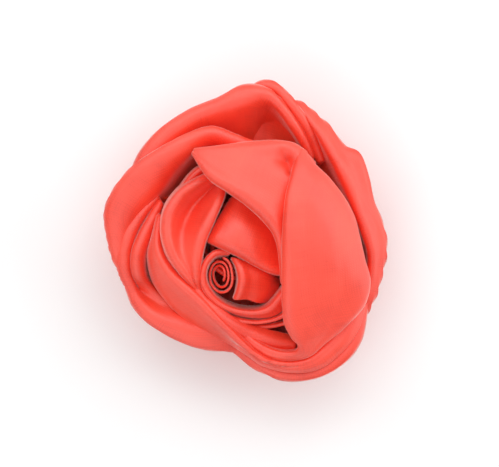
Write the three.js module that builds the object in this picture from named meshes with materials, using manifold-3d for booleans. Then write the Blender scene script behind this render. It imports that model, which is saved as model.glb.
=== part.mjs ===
// Flower hair clip: a rose of folded satin, sewn to a felt disc that is strapped to a sprung alligator clip.
// Millimetres, +Z up. The rose faces +Z. The clip lies along X below it, and its jaw opens downwards.
import * as THREE from 'three';
import { mergeVertices } from 'three/addons/utils/BufferGeometryUtils.js';
import Module from 'manifold-3d';

const wasm = await Module();
wasm.setup();

// Rose. Petal points are given above the felt, with x to the right and y up as the rose is looked at.
const GAP = 0.3; // air between pieces that lie together
const GRID = 0.004; // corners are rounded to this, so that ones that nearly meet do meet
const NOTCH = 0.15; // cut away where a petal would only touch itself
const UP = new THREE.Vector3(0, 0, 1);
const SPECK = 0.02; // edges shorter than this are closed up
const FELT_TOP = 10.5; // where the petals are sewn down
const ROOT_RADIUS = 12.5; // the outer petals are gathered in to this circle
const ROOT_HEIGHT = 1.2;
const BELLY = { share: 0.8, height: 4.4 }; // under each outer petal, between its root and its rim
const EDGE_RISE = 0.55; // how far a rim is rolled up towards the first rail inside it
const OUTER_FOLD = 1.2; // two layers of satin with the air inside a soft fold
const FOLD = 1.0;
const INNER_FOLD = 0.9;
const ROLL = 0.75; // one tight turn under the bud
const CORE = { thick: 0.55, base: 5.5, flare: 2.6 };
const EDGE_SHARE = 0.4; // of the thickness, left at a folded edge
const ALONG = 15; // columns of facets along a petal
const ACROSS = 4; // rows of facets between its two folded edges

// Felt and thread
const FELT_RADIUS = 19;
const FELT_THICK = 1.2;
const STRAP = { from: -4.5, to: 8.5, thick: 1.0 };
const STITCH = { radius: 17.3, wire: 0.25, clear: 20 }; // clear: degrees left free at the clip

// Clip
const SHEET = 0.8; // steel strip
const ARM = { tail: -24, tip: 24, z: 8.3, half: 4.6 };
const PIVOT = { x: -9, z: 4.9 };
const PIN = { radius: 0.6, head: 1.1, half: 4.7, headThick: 0.5 };
const HOLE_RADIUS = 0.66;
const ARM_EAR = { inner: 3.7, thick: 0.7 };
const JAW_EAR = { inner: 2.7, thick: 0.7 };
const COIL = { radius: 1.5, wire: 0.3, half: 1.9, turns: 3.5, legEnd: -16.5 };
const TEETH = { first: 13.5, pitch: 1.9, count: 4, height: 0.6 };
const RIBBON = { from: 9.2, to: 23.4, half: 3.9, thick: 0.5 };

// ---- petals: rails run along each petal, and the satin is drawn from rail to rail across it ----

const gathered = (rail) => rail.map(([x, y]) => {
  const k = ROOT_RADIUS / Math.hypot(x, y);
  return [x * k, y * k, ROOT_HEIGHT];
});
const belly = (rail) => rail.map(([x, y]) => [x * BELLY.share, y * BELLY.share, BELLY.height]);

// An outer petal: out from its root to the rim, and over it to the inside.
function rolled(rim, ...inner) {
  const edge = rim.map(([x, y, z], i) => [x, y, z + EDGE_RISE * (inner[0][i][2] - z)]);
  return [gathered(rim), belly(rim), edge, ...inner];
}

// Outer petals: the rim is the outline, and the rails after it go inwards from it.
const petalTop = rolled(
  [[-28.2, 13.6, 7.4], [-25.8, 19.4, 7.8], [-20.3, 25.6, 8.2], [-13.4, 30, 8.4], [-6.6, 32.7, 8.8],
    [-1.4, 35.6, 9.2], [2.6, 36, 9.6], [6, 34.9, 10], [8.2, 33.2, 10.2], [10.2, 30.9, 10],
    [12.2, 28, 9.8], [14.2, 25, 9.2], [16.2, 21.6, 8.4], [17.6, 18, 7.6]],
  [[-26, 12.8, 11], [-23.8, 17.9, 11.6], [-18.9, 23.6, 12.2], [-12.7, 28, 12.8], [-6.4, 30.9, 13.4],
    [-1.4, 33.6, 13.8], [2.2, 34.2, 13.8], [5.3, 33.8, 13.4], [7.4, 32.3, 13], [9.4, 30, 12.8],
    [11.4, 27.2, 12.2], [13.4, 24.3, 11.4], [15.4, 20.9, 10.2], [16.8, 17.7, 9]],
  [[-23, 11.4, 9.6], [-21.2, 15.9, 9.8], [-17.2, 21, 9.8], [-12, 25.4, 10.2], [-6.2, 28.4, 11.8],
    [-1.8, 30.6, 13.2], [1.2, 31.2, 12.8], [3.8, 31.2, 10.8], [6.2, 30.4, 8.4], [8.6, 28.4, 7],
    [10.6, 25.8, 6.2], [12.5, 23, 5.6], [14.2, 20, 5.2], [15.6, 17, 5]],
  [[-20.6, 10, 6], [-18.8, 14, 6], [-15.4, 18.8, 5.6], [-10.8, 22.8, 5.6], [-5.4, 25.4, 7.4],
    [-1.6, 27.4, 9], [1, 27.6, 7.8], [3.2, 27.2, 5.2], [5, 26.2, 3.2], [7, 24, 2.4], [9, 21.4, 2],
    [10.8, 18.8, 2], [12.4, 16.4, 2], [13.8, 14.2, 2]],
  [[-18.5, 8.6, 3], [-16.8, 12.4, 3], [-13.6, 17, 3], [-9.6, 20.4, 3], [-5, 22.4, 3.2],
    [-1.8, 22.6, 3.4], [0.6, 22.4, 2.8], [2.2, 22, 2], [3.6, 21, 1.6], [5.2, 19.6, 1.6],
    [6.8, 18, 1.6], [8.4, 16, 1.6], [10, 14, 1.6], [11.4, 12.4, 1.6]],
);

const petalUpperRight = rolled(
  [[1.2, 35.6, 8.4], [4.6, 37.1, 9], [8.3, 36.3, 9.6], [11, 33.6, 10], [13.4, 30.8, 10.2],
    [15.4, 27.9, 10], [17.2, 24.7, 9.4], [18.6, 21.2, 8.6], [20, 17.2, 7.6]],
  [[1.6, 35, 10], [4.8, 36.2, 11.4], [7.8, 35.5, 12], [10.2, 33.2, 12.4], [12.4, 30.4, 12.4],
    [14.4, 27.5, 12], [16.2, 24.3, 11.2], [17.6, 20.9, 10], [19, 17, 8.8]],
  [[1.8, 33.8, 9], [4.6, 35, 9.8], [7, 34.2, 9.8], [9.2, 32, 9.6], [11.2, 29.4, 9.4], [13.2, 26.6, 9],
    [15, 23.6, 8.2], [16.4, 20.4, 7.2], [17.8, 16.8, 6]],
  [[2, 30, 3.4], [4.2, 31, 3.4], [6.2, 30, 3.4], [8.2, 28, 3.4], [10, 25.6, 3.4], [11.6, 23, 3.2],
    [13.2, 20.4, 3], [14.6, 17.8, 3], [15.8, 15.4, 3]],
);

const petalRight = rolled(
  [[11.3, 32.8, 7.6], [14.8, 31.4, 8], [18.3, 28.4, 8.2], [21.6, 25.4, 8.4], [25, 20.8, 8.8],
    [28.7, 19.2, 9], [30.7, 13, 9], [32.1, 7, 8.8], [34.4, 2, 8.6], [35.3, -4.5, 8.4],
    [34.1, -10.8, 8.2], [32.6, -16.2, 8], [30.2, -20.9, 7.6]],
  [[11.8, 32, 9.2], [14.8, 30.4, 10.2], [17.6, 27.8, 10.8], [20.8, 24.4, 11.2], [24, 19.8, 11.4],
    [26.8, 16.6, 11.8], [28.8, 11.6, 11.8], [30.4, 6, 11.6], [32.4, 0.8, 11.4], [33.6, -5, 11],
    [32.8, -10.9, 10.6], [31.4, -16, 10], [29.2, -20.5, 9]],
  [[12.6, 31.6, 9.8], [14.8, 29.4, 11], [17, 26.9, 12], [19.4, 23.5, 12.8], [21.8, 19.2, 13.2],
    [24.2, 14.6, 13.6], [26.3, 10, 13.6], [28.3, 4.6, 13.4], [30.2, -0.8, 13], [31.6, -5.8, 12.4],
    [31.3, -11, 11.6], [30.3, -15.8, 10.8], [28.3, -20, 9.6]],
  [[12.7, 30.6, 7], [14.3, 28.4, 7.2], [16.3, 25.9, 7.4], [18.4, 22.5, 7.6], [20.4, 18.2, 7.8],
    [22.5, 13.7, 8], [24.7, 9.2, 8], [27.1, 4.2, 7.8], [29.1, -0.9, 6.6], [30.5, -5.9, 6.6],
    [30.4, -10.9, 6.6], [29.5, -15.6, 6.6], [27.8, -19.6, 6.6]],
  [[12, 24.6, 3], [13.4, 22.4, 3], [15, 19.8, 3], [16.6, 16.8, 3], [18.2, 13.4, 3], [19.8, 9.8, 3],
    [21.4, 6, 3], [23, 1.8, 3], [24.6, -2.6, 3.2], [25.4, -7, 3.4], [25.4, -11.6, 3.6],
    [24.6, -15.8, 3.8], [23, -19, 4]],
);

const petalLeft = rolled(
  [[3, 21.6, 9.6], [-2.4, 23.7, 10.6], [-8, 25.5, 11.6], [-14.2, 23.6, 12], [-20.6, 20.3, 11.6],
    [-27.4, 15.8, 10.6], [-32, 10.4, 9.6], [-34.4, 5, 9], [-33.7, -1.6, 8.6], [-32.1, -7.2, 8.4],
    [-28.9, -13, 8.2]],
  [[3, 20.6, 11.2], [-2.5, 22.3, 13], [-8.2, 24.1, 14.4], [-13.9, 21.9, 15], [-19.9, 18.3, 15],
    [-25.8, 13.9, 14.4], [-29.8, 9.1, 13.6], [-32, 4.1, 12.8], [-31.9, -1.8, 11.8], [-31, -7.2, 10.8],
    [-28.3, -12.6, 9.8]],
  [[3, 19.4, 10.6], [-2.6, 21, 12], [-8.5, 22.2, 12.8], [-13.3, 19.9, 13], [-17.7, 15.9, 12.8],
    [-21.8, 11, 12.6], [-26.2, 6.8, 12.4], [-29, 2.4, 12], [-30, -2, 11.4], [-29.8, -7.3, 10.4],
    [-27.6, -12.2, 9.4]],
  [[3, 18.4, 8], [-2.8, 19.7, 8.8], [-9, 20.2, 8.6], [-12.9, 18.5, 8], [-16.4, 14.5, 7.4],
    [-20, 9.8, 7.4], [-24, 5.6, 8], [-26.8, 1.6, 8.6], [-28.2, -2.4, 8.8], [-28.3, -7.4, 8.8],
    [-26.4, -11.6, 8.4]],
  [[3, 17, 4], [-3, 18, 3.4], [-9.2, 17.6, 2.6], [-12.2, 15.4, 2.4], [-15.2, 11.2, 2.4],
    [-18.8, 7.2, 2.8], [-22, 3.6, 3.8], [-24.6, 0, 4.8], [-26.2, -3, 5.6], [-26.4, -7.4, 6],
    [-24.6, -11, 5.8]],
);

// Pleated: crest, groove, crest, and a groove along the sweeping petal.
const petalLowerLeft = rolled(
  [[-21, 9.6, 7], [-26.6, 6.2, 7.2], [-30.8, 0.8, 7.2], [-32, -5, 7.2], [-31, -9.8, 7.2],
    [-29.2, -13.8, 7.4], [-27.7, -18, 7.6], [-24.6, -21.9, 7.6], [-19.6, -25.4, 7.6],
    [-13.6, -28.1, 7.6], [-7.5, -29.4, 7.6], [-3, -29.7, 7.4], [1.4, -30.2, 6.4]],
  [[-21.3, 9.2, 9.4], [-25.6, 5.2, 11], [-29, -0.1, 11.8], [-30.4, -5.5, 11.6], [-29.8, -10.2, 11],
    [-28, -14.2, 10.4], [-26.3, -17.7, 10.4], [-23.4, -21, 10.6], [-18.8, -24.2, 10.8],
    [-13.2, -26.7, 10.8], [-7.6, -27.9, 10.4], [-3.4, -28.2, 9.6], [1.2, -29, 8]],
  [[-21.2, 8.9, 9.8], [-24.9, 4.5, 11.4], [-27.7, -0.5, 12], [-29.2, -5.8, 11.8], [-28.9, -10.4, 10.6],
    [-27.2, -14.4, 9.4], [-25.2, -17.3, 9.4], [-22.2, -20.1, 10], [-17.8, -23, 11],
    [-12.6, -25.4, 11.2], [-7.2, -26.6, 10.8], [-3.2, -27.2, 10], [1.4, -28, 8.4]],
  [[-21.1, 8.4, 8], [-24.2, 3.9, 7.8], [-26.8, -0.9, 7.6], [-28.4, -6, 7.8], [-28.2, -10.6, 8.2],
    [-26.5, -14.5, 8.2], [-24.2, -16.9, 8.2], [-21, -19.3, 9], [-16.8, -22, 10.6], [-11.8, -24.4, 11],
    [-6.8, -25.6, 10.8], [-3, -26.2, 10], [1.6, -27, 8.4]],
  [[-20.9, 7.9, 9.8], [-23.4, 3.4, 11.8], [-25.9, -1.3, 12.8], [-27.5, -6.3, 13], [-27.2, -10.9, 11.6],
    [-25.2, -14.2, 9], [-22.8, -16.5, 8], [-19.8, -18.7, 8.6], [-15.8, -21.2, 9.8], [-11, -23.4, 10.4],
    [-6.4, -24.6, 10.2], [-2.8, -25.2, 9.6], [1.8, -26, 8]],
  [[-20.6, 7.4, 9.8], [-22.4, 3, 11.6], [-24.4, -1.8, 12.6], [-26, -6.7, 12.8], [-25.5, -11.3, 11.4],
    [-23.4, -14.2, 9], [-21.2, -16.2, 8], [-18.6, -18, 8.4], [-14.6, -20.2, 9.2], [-10.2, -22.4, 9.6],
    [-6, -23.6, 9.4], [-2.6, -24.4, 9], [2, -25, 7.6]],
  [[-20.1, 6.8, 7], [-21.3, 2.4, 7.2], [-23, -2.2, 7.4], [-24.6, -7, 7.4], [-24, -11.6, 7.2],
    [-21.8, -14.2, 6.8], [-19.4, -15.6, 6.8], [-16.8, -17, 7], [-13.2, -19, 7.4], [-9.2, -21.4, 7.6],
    [-5.4, -22.6, 7.6], [-2.2, -23.4, 7.4], [2.2, -24, 6.6]],
);

const petalBottom = rolled(
  [[-6, -28.2, 6.4], [-2.4, -29.9, 7.2], [2.2, -33.5, 8.2], [8, -36.3, 9], [14, -37, 9.2],
    [20, -35.6, 9.2], [25.6, -31.8, 9.2], [28.8, -27.1, 9], [30.2, -21.4, 8.6], [30.6, -16, 8]],
  [[-5.6, -26.8, 7.6], [-1.8, -28.4, 8.8], [3, -31.9, 10.2], [8.4, -34.8, 11], [14, -35.5, 11.2],
    [19.4, -34.1, 11.2], [24.4, -30.6, 11.2], [27.4, -26.2, 11], [28.8, -20.9, 10.4],
    [29.2, -15.8, 9.4]],
  [[-5, -24.8, 6.4], [-1, -26.4, 7.4], [4, -29.8, 8.4], [8.8, -32.4, 8.8], [13.8, -33, 9],
    [18.4, -31.6, 9], [22.6, -28.6, 9], [25.2, -24.6, 8.8], [26.6, -20, 8.4], [27.2, -15.4, 7.8]],
  [[-4, -22, 4], [0, -23.6, 4], [5, -26.4, 4], [9, -28.8, 4], [13.2, -29.4, 4], [17, -28, 4],
    [20.4, -25.4, 4], [22.6, -22, 4], [24, -18.2, 4], [24.8, -14.6, 4]],
);

// The long petal that sweeps from the left, under the bud, to the lower right.
const petalSweep = [
  [[-21.4, 4.6, 9], [-22.7, -0.8, 9], [-24, -6, 9.2], [-22.9, -11.8, 9.2], [-20.4, -16, 9.6],
    [-17.2, -19.8, 10.2], [-13, -23, 10.4], [-8.2, -25.8, 10.4], [-3.6, -28, 10.4], [1, -31, 10.8],
    [5, -33.7, 11.6], [11.6, -35.2, 12.2], [18.6, -34.4, 12.2], [24.4, -30.2, 12], [28.4, -25, 11.8],
    [30.4, -18.6, 11]],
  [[-21.3, 4.5, 11.4], [-22.4, -0.8, 12.4], [-23.3, -5.9, 13], [-21.9, -11.5, 13],
    [-19.3, -15.5, 12.8], [-16.1, -19, 12.6], [-12.1, -22, 12.4], [-7.6, -24.8, 12.2],
    [-3.2, -27.2, 12], [1.2, -30.2, 12.2], [5.2, -32.8, 13], [11.8, -34.3, 13.6], [18.2, -33.2, 13.6],
    [23.6, -29, 13.4], [27.2, -24, 13], [29.2, -18, 12]],
  [[-21.1, 4.3, 12.6], [-22, -0.9, 14.4], [-22.3, -5.8, 15.2], [-20.3, -11, 15.6], [-17, -15.1, 15.4],
    [-13.6, -18.3, 14.8], [-10, -21.5, 14.2], [-6.2, -24.6, 13.6], [-2.4, -27.2, 13.2],
    [1.8, -29.8, 13.2], [5.8, -32.2, 13.6], [12, -33.6, 14], [17.8, -32.3, 14], [22.8, -28, 13.6],
    [26.2, -23.2, 13.2], [28.2, -17.4, 12]],
  [[-20.7, 4.1, 13], [-21.4, -1, 15.4], [-20.8, -5.5, 16.8], [-18, -10.3, 17.8], [-14.2, -14, 18],
    [-10.2, -17.8, 17.6], [-6.6, -21.6, 16.8], [-3.2, -25, 16], [0, -28.2, 15.4], [3.2, -31, 15],
    [7.2, -32.8, 14.6], [12.4, -33, 14.2], [17.2, -31.2, 13.8], [21.6, -26.6, 13.2], [25, -22, 12.6],
    [27, -16.6, 11.4]],
  [[-20, 4, 9], [-20.2, -1.2, 10], [-19, -5, 10.4], [-16.2, -9.2, 10.6], [-12.4, -12.8, 10.6],
    [-8.4, -16.6, 10], [-4.8, -20.4, 9.4], [-1.6, -23.8, 8.8], [1.6, -26.8, 8.6], [4.6, -29.4, 9],
    [8.2, -31, 9.4], [12.6, -31.2, 9.8], [16.4, -29, 9.6], [20, -24.2, 9.2], [23, -20, 8.8],
    [25, -15.4, 8.4]],
];

// An arch left of the bud: outer drop, crest, valley, ridge, inner drop.
const petalInnerLeft = [
  [[-7, 15.6, 12], [-12.4, 13.4, 11], [-17, 10.2, 10], [-20.2, 5.2, 10], [-20.8, -0.8, 10],
    [-19.6, -6.2, 10], [-16.9, -10.6, 10], [-13.8, -14.2, 10], [-11.2, -17.4, 8]],
  [[-7, 14.2, 17.5], [-11.6, 12, 19.4], [-15.8, 9.1, 20], [-18.8, 4.6, 20.6], [-19.5, -0.8, 20.8],
    [-18.3, -5.6, 20.2], [-15.8, -9.6, 19.2], [-12.9, -13.3, 17.6], [-10.6, -16.6, 14.4]],
  [[-6, 12.6, 13.4], [-9.2, 9.8, 13.6], [-12.2, 6.6, 13.8], [-14.4, 2.6, 15.4], [-15.4, -1.6, 17.6],
    [-15, -5.6, 18.8], [-13.7, -9, 18.8], [-12.1, -13, 17.6], [-10.2, -16.4, 14.4]],
  [[-5, 11, 17.5], [-5.8, 8.2, 19.4], [-7.2, 5, 20.4], [-8.7, 1.7, 20.8], [-10.1, -1.7, 20.8],
    [-10.9, -5.3, 20.4], [-11.3, -8.8, 19.6], [-11.3, -12.8, 17.8], [-9.9, -16.1, 14.4]],
  [[-4.6, 10.2, 12], [-5.3, 7.5, 12], [-6.6, 4.4, 12], [-8.1, 1.2, 12], [-9.5, -2, 12],
    [-10.4, -5.5, 12], [-10.8, -9, 12], [-10.9, -12.8, 12], [-9.6, -15.8, 10]],
];

// A small fold tucked in behind the tip.
const petalTuck = [
  [[-6.5, 16.8, 8], [-10.8, 16.4, 8], [-13.6, 14.5, 8], [-15.8, 11.7, 8], [-18, 8.3, 8]],
  [[-6.5, 16.2, 15], [-10.5, 15.5, 15.4], [-12.9, 13.8, 15.2], [-14.9, 11.3, 14.4], [-16.7, 8.4, 13.2]],
  [[-6.3, 14.5, 13.8], [-10, 14, 14], [-12.2, 12.5, 13.8], [-14.1, 10.4, 13], [-15.8, 7.8, 12]],
];

// The fold that covers the top of the bud.
const petalInnerRight = [
  [[-8.9, -2.6, 12], [-7.2, -3.5, 12], [-3.8, -5, 12], [-0.1, -7, 12], [3.7, -9.2, 12],
    [7.3, -10.6, 12], [10.6, -11.1, 11.5]],
  [[-8.9, -2, 17.6], [-7.1, -2.7, 19.4], [-3.8, -4.2, 20], [-0.1, -6.1, 19.6], [3.6, -8.3, 18.4],
    [7.2, -9.8, 17], [10.5, -10.4, 15.6]],
  [[-6.7, 2.4, 16.4], [-4.4, 2.2, 19], [-1.5, 1, 20.4], [2.1, -1.4, 19.4], [5.1, -4, 17.4],
    [8, -6.4, 15.4], [10.9, -7.5, 14]],
  [[-3.2, 8.2, 14], [-1.4, 8.6, 15.8], [1, 7.4, 16.8], [4.2, 4.8, 16.2], [6.8, 1.4, 14.8],
    [9, -1.6, 13.4], [11.4, -3, 12.4]],
];

// The petal that is folded over above the bud, to a sharp tip at the left.
const petalFoldUpper = [
  [[-11.4, 18.6, 12], [-9.4, 15.4, 12], [-6.8, 12.2, 12], [-2.8, 9.2, 12.6], [1.6, 6.2, 13],
    [5.6, 2.6, 13.4], [8.4, -1.4, 13.6], [9.7, -7, 14], [10.2, -12.5, 14]],
  [[-12.7, 19.5, 19.6], [-10.8, 16.4, 21.8], [-8.3, 13.2, 23.2], [-4, 10.3, 24], [0.4, 7.3, 24.2],
    [4.8, 3.5, 23.8], [7.9, -0.8, 22.8], [9.2, -6.7, 21.4], [9.7, -12.5, 20]],
  [[-12.6, 19.7, 19.7], [-9.8, 17.6, 22], [-6.4, 15.6, 23], [-2.2, 13.6, 23.6], [2.2, 11.6, 23.6],
    [6.4, 9, 23.2], [9.6, 5.6, 22.2], [12.2, 1.5, 20.6], [14.2, -2, 19.2]],
  [[-12.5, 19.9, 19.6], [-9.4, 19.2, 21.4], [-5, 18.6, 22], [0, 18.2, 22.2], [4.4, 17.8, 22.2],
    [8.4, 16.8, 21.8], [11.8, 14.6, 21.2], [14.6, 11.4, 20], [17, 8, 18.6]],
  [[-12.4, 20, 19.4], [-9, 20.3, 20.2], [-4, 21, 20.4], [1, 21.6, 20.4], [5.2, 21.9, 20.4],
    [9.2, 21.7, 20.2], [12.6, 20.9, 19.8], [15.2, 18.8, 18.8], [17.7, 16, 17.8]],
  [[-10.8, 19.6, 12], [-7.8, 20.2, 11], [-3.6, 20.8, 10.6], [1, 21.3, 10.6], [5.2, 21.6, 10.6],
    [9.2, 21.4, 10.6], [12.6, 20.6, 10.6], [15.4, 18.4, 10.6], [17.8, 15.6, 10.4]],
];

// The broad petal at the right. Its far end is drawn in to a narrow neck that runs under the bud.
const petalFoldRight = [
  [[12.9, 20, 13], [12.8, 17.4, 14], [12.4, 13.8, 15], [11.4, 8, 16], [10.9, 1.5, 16], [10.8, -5, 16],
    [10.8, -11.5, 16], [10.8, -17.5, 15.4], [11.2, -22.3, 14.6], [12.8, -25.6, 13.6],
    [14.4, -28, 12.6], [13.2, -29.7, 11.8], [8.8, -29.7, 11], [3.6, -27.2, 10.4], [-1.4, -23, 9.8]],
  [[13, 20.6, 18], [12.9, 18, 19.3], [12.1, 14.2, 21.7], [10.7, 8.2, 23.8], [10.2, 1.5, 24.6],
    [10.1, -5, 24.6], [10, -11.5, 24.2], [10, -17.5, 23.4], [10.4, -22.5, 21.8], [12.1, -26, 19.8],
    [13.8, -28.3, 18], [12.8, -30.2, 16.2], [8.8, -30.3, 14.8], [3.4, -28, 14], [-1.8, -23.6, 13.2]],
  [[13.6, 20.8, 18.6], [13.9, 17.9, 20.8], [14.1, 14, 22.6], [14.4, 8, 24], [15, 2, 24.4],
    [15.5, -4, 24.4], [15.6, -10, 24], [15.5, -16, 23], [15.2, -21.5, 21.4], [16, -25.4, 19.6],
    [16, -28.2, 17.6], [14, -30.6, 16.2], [8.8, -30.9, 15], [3.2, -28.6, 14.2], [-2.1, -24.1, 13.4]],
  [[14.2, 20.7, 18.6], [15.6, 17.5, 20.2], [17.2, 13.4, 21.6], [19.2, 8, 22.4], [21.2, 2.5, 22.6],
    [22.4, -3, 22.6], [23.2, -9, 22], [23, -14.5, 20.8], [22, -19.8, 19.2], [20.4, -24.3, 17.8],
    [18, -27.8, 16.6], [14.8, -30.9, 15.6], [8.8, -31.4, 14.8], [3, -29.1, 14], [-2.4, -24.5, 13.2]],
  [[14.8, 20.2, 18], [16.8, 16.9, 18.6], [20.3, 13.4, 18.6], [24, 8.8, 18.2], [26.8, 3.5, 17.8],
    [28.3, -2, 17.8], [29.6, -8, 17.6], [30.6, -13, 17], [29.2, -18.6, 16.2], [24.8, -23.6, 15.6],
    [19.8, -27.7, 15.2], [15.4, -31.1, 14.6], [8.8, -31.8, 14], [2.8, -29.6, 13.2],
    [-2.7, -24.9, 12.6]],
  [[14.9, 19.2, 12.4], [17, 16, 10.4], [20.2, 13, 9.4], [23.6, 8.4, 8.6], [26.2, 3.2, 8.4],
    [27.6, -2, 8.4], [28.9, -8.2, 8.6], [29.9, -13.2, 9], [28.6, -18.8, 9.6], [24.6, -23.4, 10],
    [19.8, -27.8, 10.6], [15.5, -31.6, 11], [8.8, -32.1, 11], [2.6, -30, 10.6], [-2.9, -25.2, 10]],
];

// The middle of the bud: one strip rolled up, seen from above, with the height of its upper edge.
const coreEdge = [
  [-5.2, -12.6, 14.6], [-4.8, -11.2, 15.6], [-5, -9.6, 15.8], [-5.9, -8.7, 15], [-7, -9.1, 13.8],
  [-7.6, -10.6, 12.8], [-7.2, -12.6, 13], [-6, -13.9, 14.2], [-4.6, -13.6, 15.6], [-3.9, -12.1, 16.6],
  [-3.9, -10.1, 17], [-4.6, -8.3, 16.6], [-6, -7.6, 15.8], [-7.6, -8.4, 14.6], [-8.4, -10.6, 13.8],
  [-8, -13.2, 14], [-6.3, -15, 15], [-4.4, -14.9, 16.2], [-3.1, -13.2, 17.2], [-3, -10.4, 17.8],
  [-3.8, -7.7, 17.6], [-5.3, -6.6, 17.2]];
const budCore = [
  coreEdge.map(([x, y]) => [x, y, CORE.base]),
  coreEdge.map(([x, y, z]) => [x, y, z - CORE.flare]),
  coreEdge,
];

// The turn round the bud: up its inside, over the crest and a little way down outside.
const budWrap = [
  [[-4.4, -6.4, 9], [-7.2, -7, 9], [-8.9, -9, 9], [-9.3, -11.5, 9], [-8.5, -13.9, 9], [-6.6, -16.2, 9],
    [-4.1, -17.8, 9], [-0.8, -18.8, 9], [3, -19, 9], [5.6, -18.2, 9], [7.6, -16.2, 9], [9.6, -13.6, 9]],
  [[-3.4, -5.7, 16], [-6.9, -6, 16.8], [-9.1, -8.3, 17], [-9.8, -11.3, 16.8], [-9, -14.1, 16.2],
    [-7, -16.7, 15.4], [-4.3, -18.5, 14.8], [-0.9, -19.5, 14.4], [3, -19.7, 14.4], [5.9, -18.8, 14.8],
    [8, -16.6, 15.2], [10, -14, 15.6]],
  [[-3, -5.2, 17], [-7, -5.3, 18.2], [-9.6, -8, 18.6], [-10.4, -11.4, 18.4], [-9.5, -14.5, 17.8],
    [-7.3, -17.2, 17], [-4.5, -19.1, 16.2], [-1, -20.2, 15.8], [3.1, -20.5, 15.8], [6.5, -19.5, 16],
    [8.8, -17.2, 16.4], [10.8, -14.6, 16.8]],
  [[-2.8, -4.9, 15.8], [-7.2, -5, 16.8], [-10.1, -7.9, 17], [-10.9, -11.5, 16.8], [-10, -14.8, 16],
    [-7.7, -17.6, 15], [-4.8, -19.7, 14], [-1.1, -21, 13.4], [3.4, -21.6, 13.2], [7.6, -21, 13.4],
    [10.4, -18.8, 14], [12.2, -15.8, 14.8]],
];

// A short fold beside the bud, sloping down to the right.
const budPetal = [
  [[-3.2, -6.8, 10], [-2.2, -9, 9], [-1.7, -12, 9], [-2, -14.8, 9], [-2.6, -16.8, 10]],
  [[-2.8, -6.5, 17.2], [-1.5, -9, 18.6], [-0.9, -12, 18.8], [-1.4, -14.8, 18.2], [-2.2, -17.1, 16.8]],
  [[-0.4, -7.3, 17], [1, -9.8, 17.6], [1.6, -12.4, 17.4], [1.2, -15, 16.8], [0.6, -17, 15.6]],
  [[3.4, -8.8, 15], [5, -11, 15.2], [5.4, -13.2, 14.8], [4.8, -15.8, 14.4], [3.2, -17.9, 14]],
  [[7.2, -10.5, 10], [8.6, -12, 10], [8.7, -13.8, 10], [7.6, -16, 10], [5.6, -18, 10]],
];

// Three narrow turns under the bud, each lower than the one before.
const wrapInner = [
  [[-9.9, -6.6, 5.5], [-10.9, -10, 5.5], [-10.3, -13.6, 5.5], [-8.3, -16.8, 5.5], [-5.7, -19.1, 5.5],
    [-2.8, -20.4, 5.5], [0.6, -21.3, 5.5], [4.4, -21.8, 5.5], [8.2, -20.9, 5.5], [11, -18.8, 5.5]],
  [[-10.2, -6.6, 16.2], [-11.2, -10, 16.2], [-10.6, -13.9, 15.6], [-8.5, -17.2, 14.8],
    [-5.8, -19.8, 14], [-2.8, -21.3, 13.4], [0.6, -22.1, 13.2], [4.4, -22.3, 13.2], [8.3, -21.4, 13.4],
    [11.1, -19.4, 13.8]],
  [[-10.9, -6.3, 17.4], [-12, -9.9, 17.4], [-11.4, -14.4, 17], [-9.2, -18.1, 16.2],
    [-6.3, -20.8, 15.4], [-3, -22.4, 14.8], [0.6, -23, 14.4], [4.6, -23, 14.4], [8.9, -22, 14.6],
    [11.9, -20, 15]],
];

const wrapMiddle = [
  [[-11.6, -12, 4.5], [-10.5, -15.5, 4.5], [-8.2, -18.7, 4.5], [-5.1, -21.4, 4.5], [-1.6, -23.2, 4.5],
    [2.4, -23.8, 4.5], [6.4, -23.6, 4.5], [10.6, -22.6, 4.5]],
  [[-11.9, -12.3, 15], [-10.8, -16, 14.6], [-8.5, -19.3, 13.8], [-5.4, -21.8, 12.6],
    [-1.7, -23.3, 11.8], [2.4, -23.6, 11.4], [6.5, -23.4, 11.4], [10.7, -22.5, 11.6]],
  [[-12.6, -12.9, 16], [-11.5, -16.7, 15.8], [-9, -20.2, 15], [-5.8, -22.8, 13.8], [-1.9, -24.2, 12.8],
    [2.5, -24.4, 12.3], [6.9, -24.2, 12.3], [11.3, -23.2, 12.6]],
];

const wrapOuter = [
  [[-11.8, -13, 8], [-9.4, -17, 8], [-6.4, -20.2, 8], [-3.2, -23, 7], [0.4, -25, 6], [4.4, -26.6, 6],
    [8.4, -27.6, 6], [12.6, -28.4, 6]],
  [[-12.6, -14.2, 15.8], [-10, -18.2, 15.6], [-7, -21.6, 15], [-3.6, -24.5, 13.8], [0.1, -26.8, 12.6],
    [4.2, -28.3, 11.8], [8.3, -29.2, 11.2], [12.8, -29.8, 10.6]],
  [[-12.2, -13.6, 16.8], [-9.7, -17.4, 16.8], [-6.5, -20.6, 16.2], [-3, -23.3, 15.2], [0.8, -25.2, 14],
    [4.8, -26.7, 13.2], [8.8, -27.6, 12.4], [13.2, -28.3, 11.6]],
  [[-11.6, -12.8, 16], [-8.8, -16.4, 16], [-5.5, -19.2, 15.4], [-1.9, -21.7, 14.2], [2.2, -23.4, 12.6],
    [6.2, -24.7, 11.4], [9.8, -25.6, 10.4], [13.6, -26.6, 9.6]],
];

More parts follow.
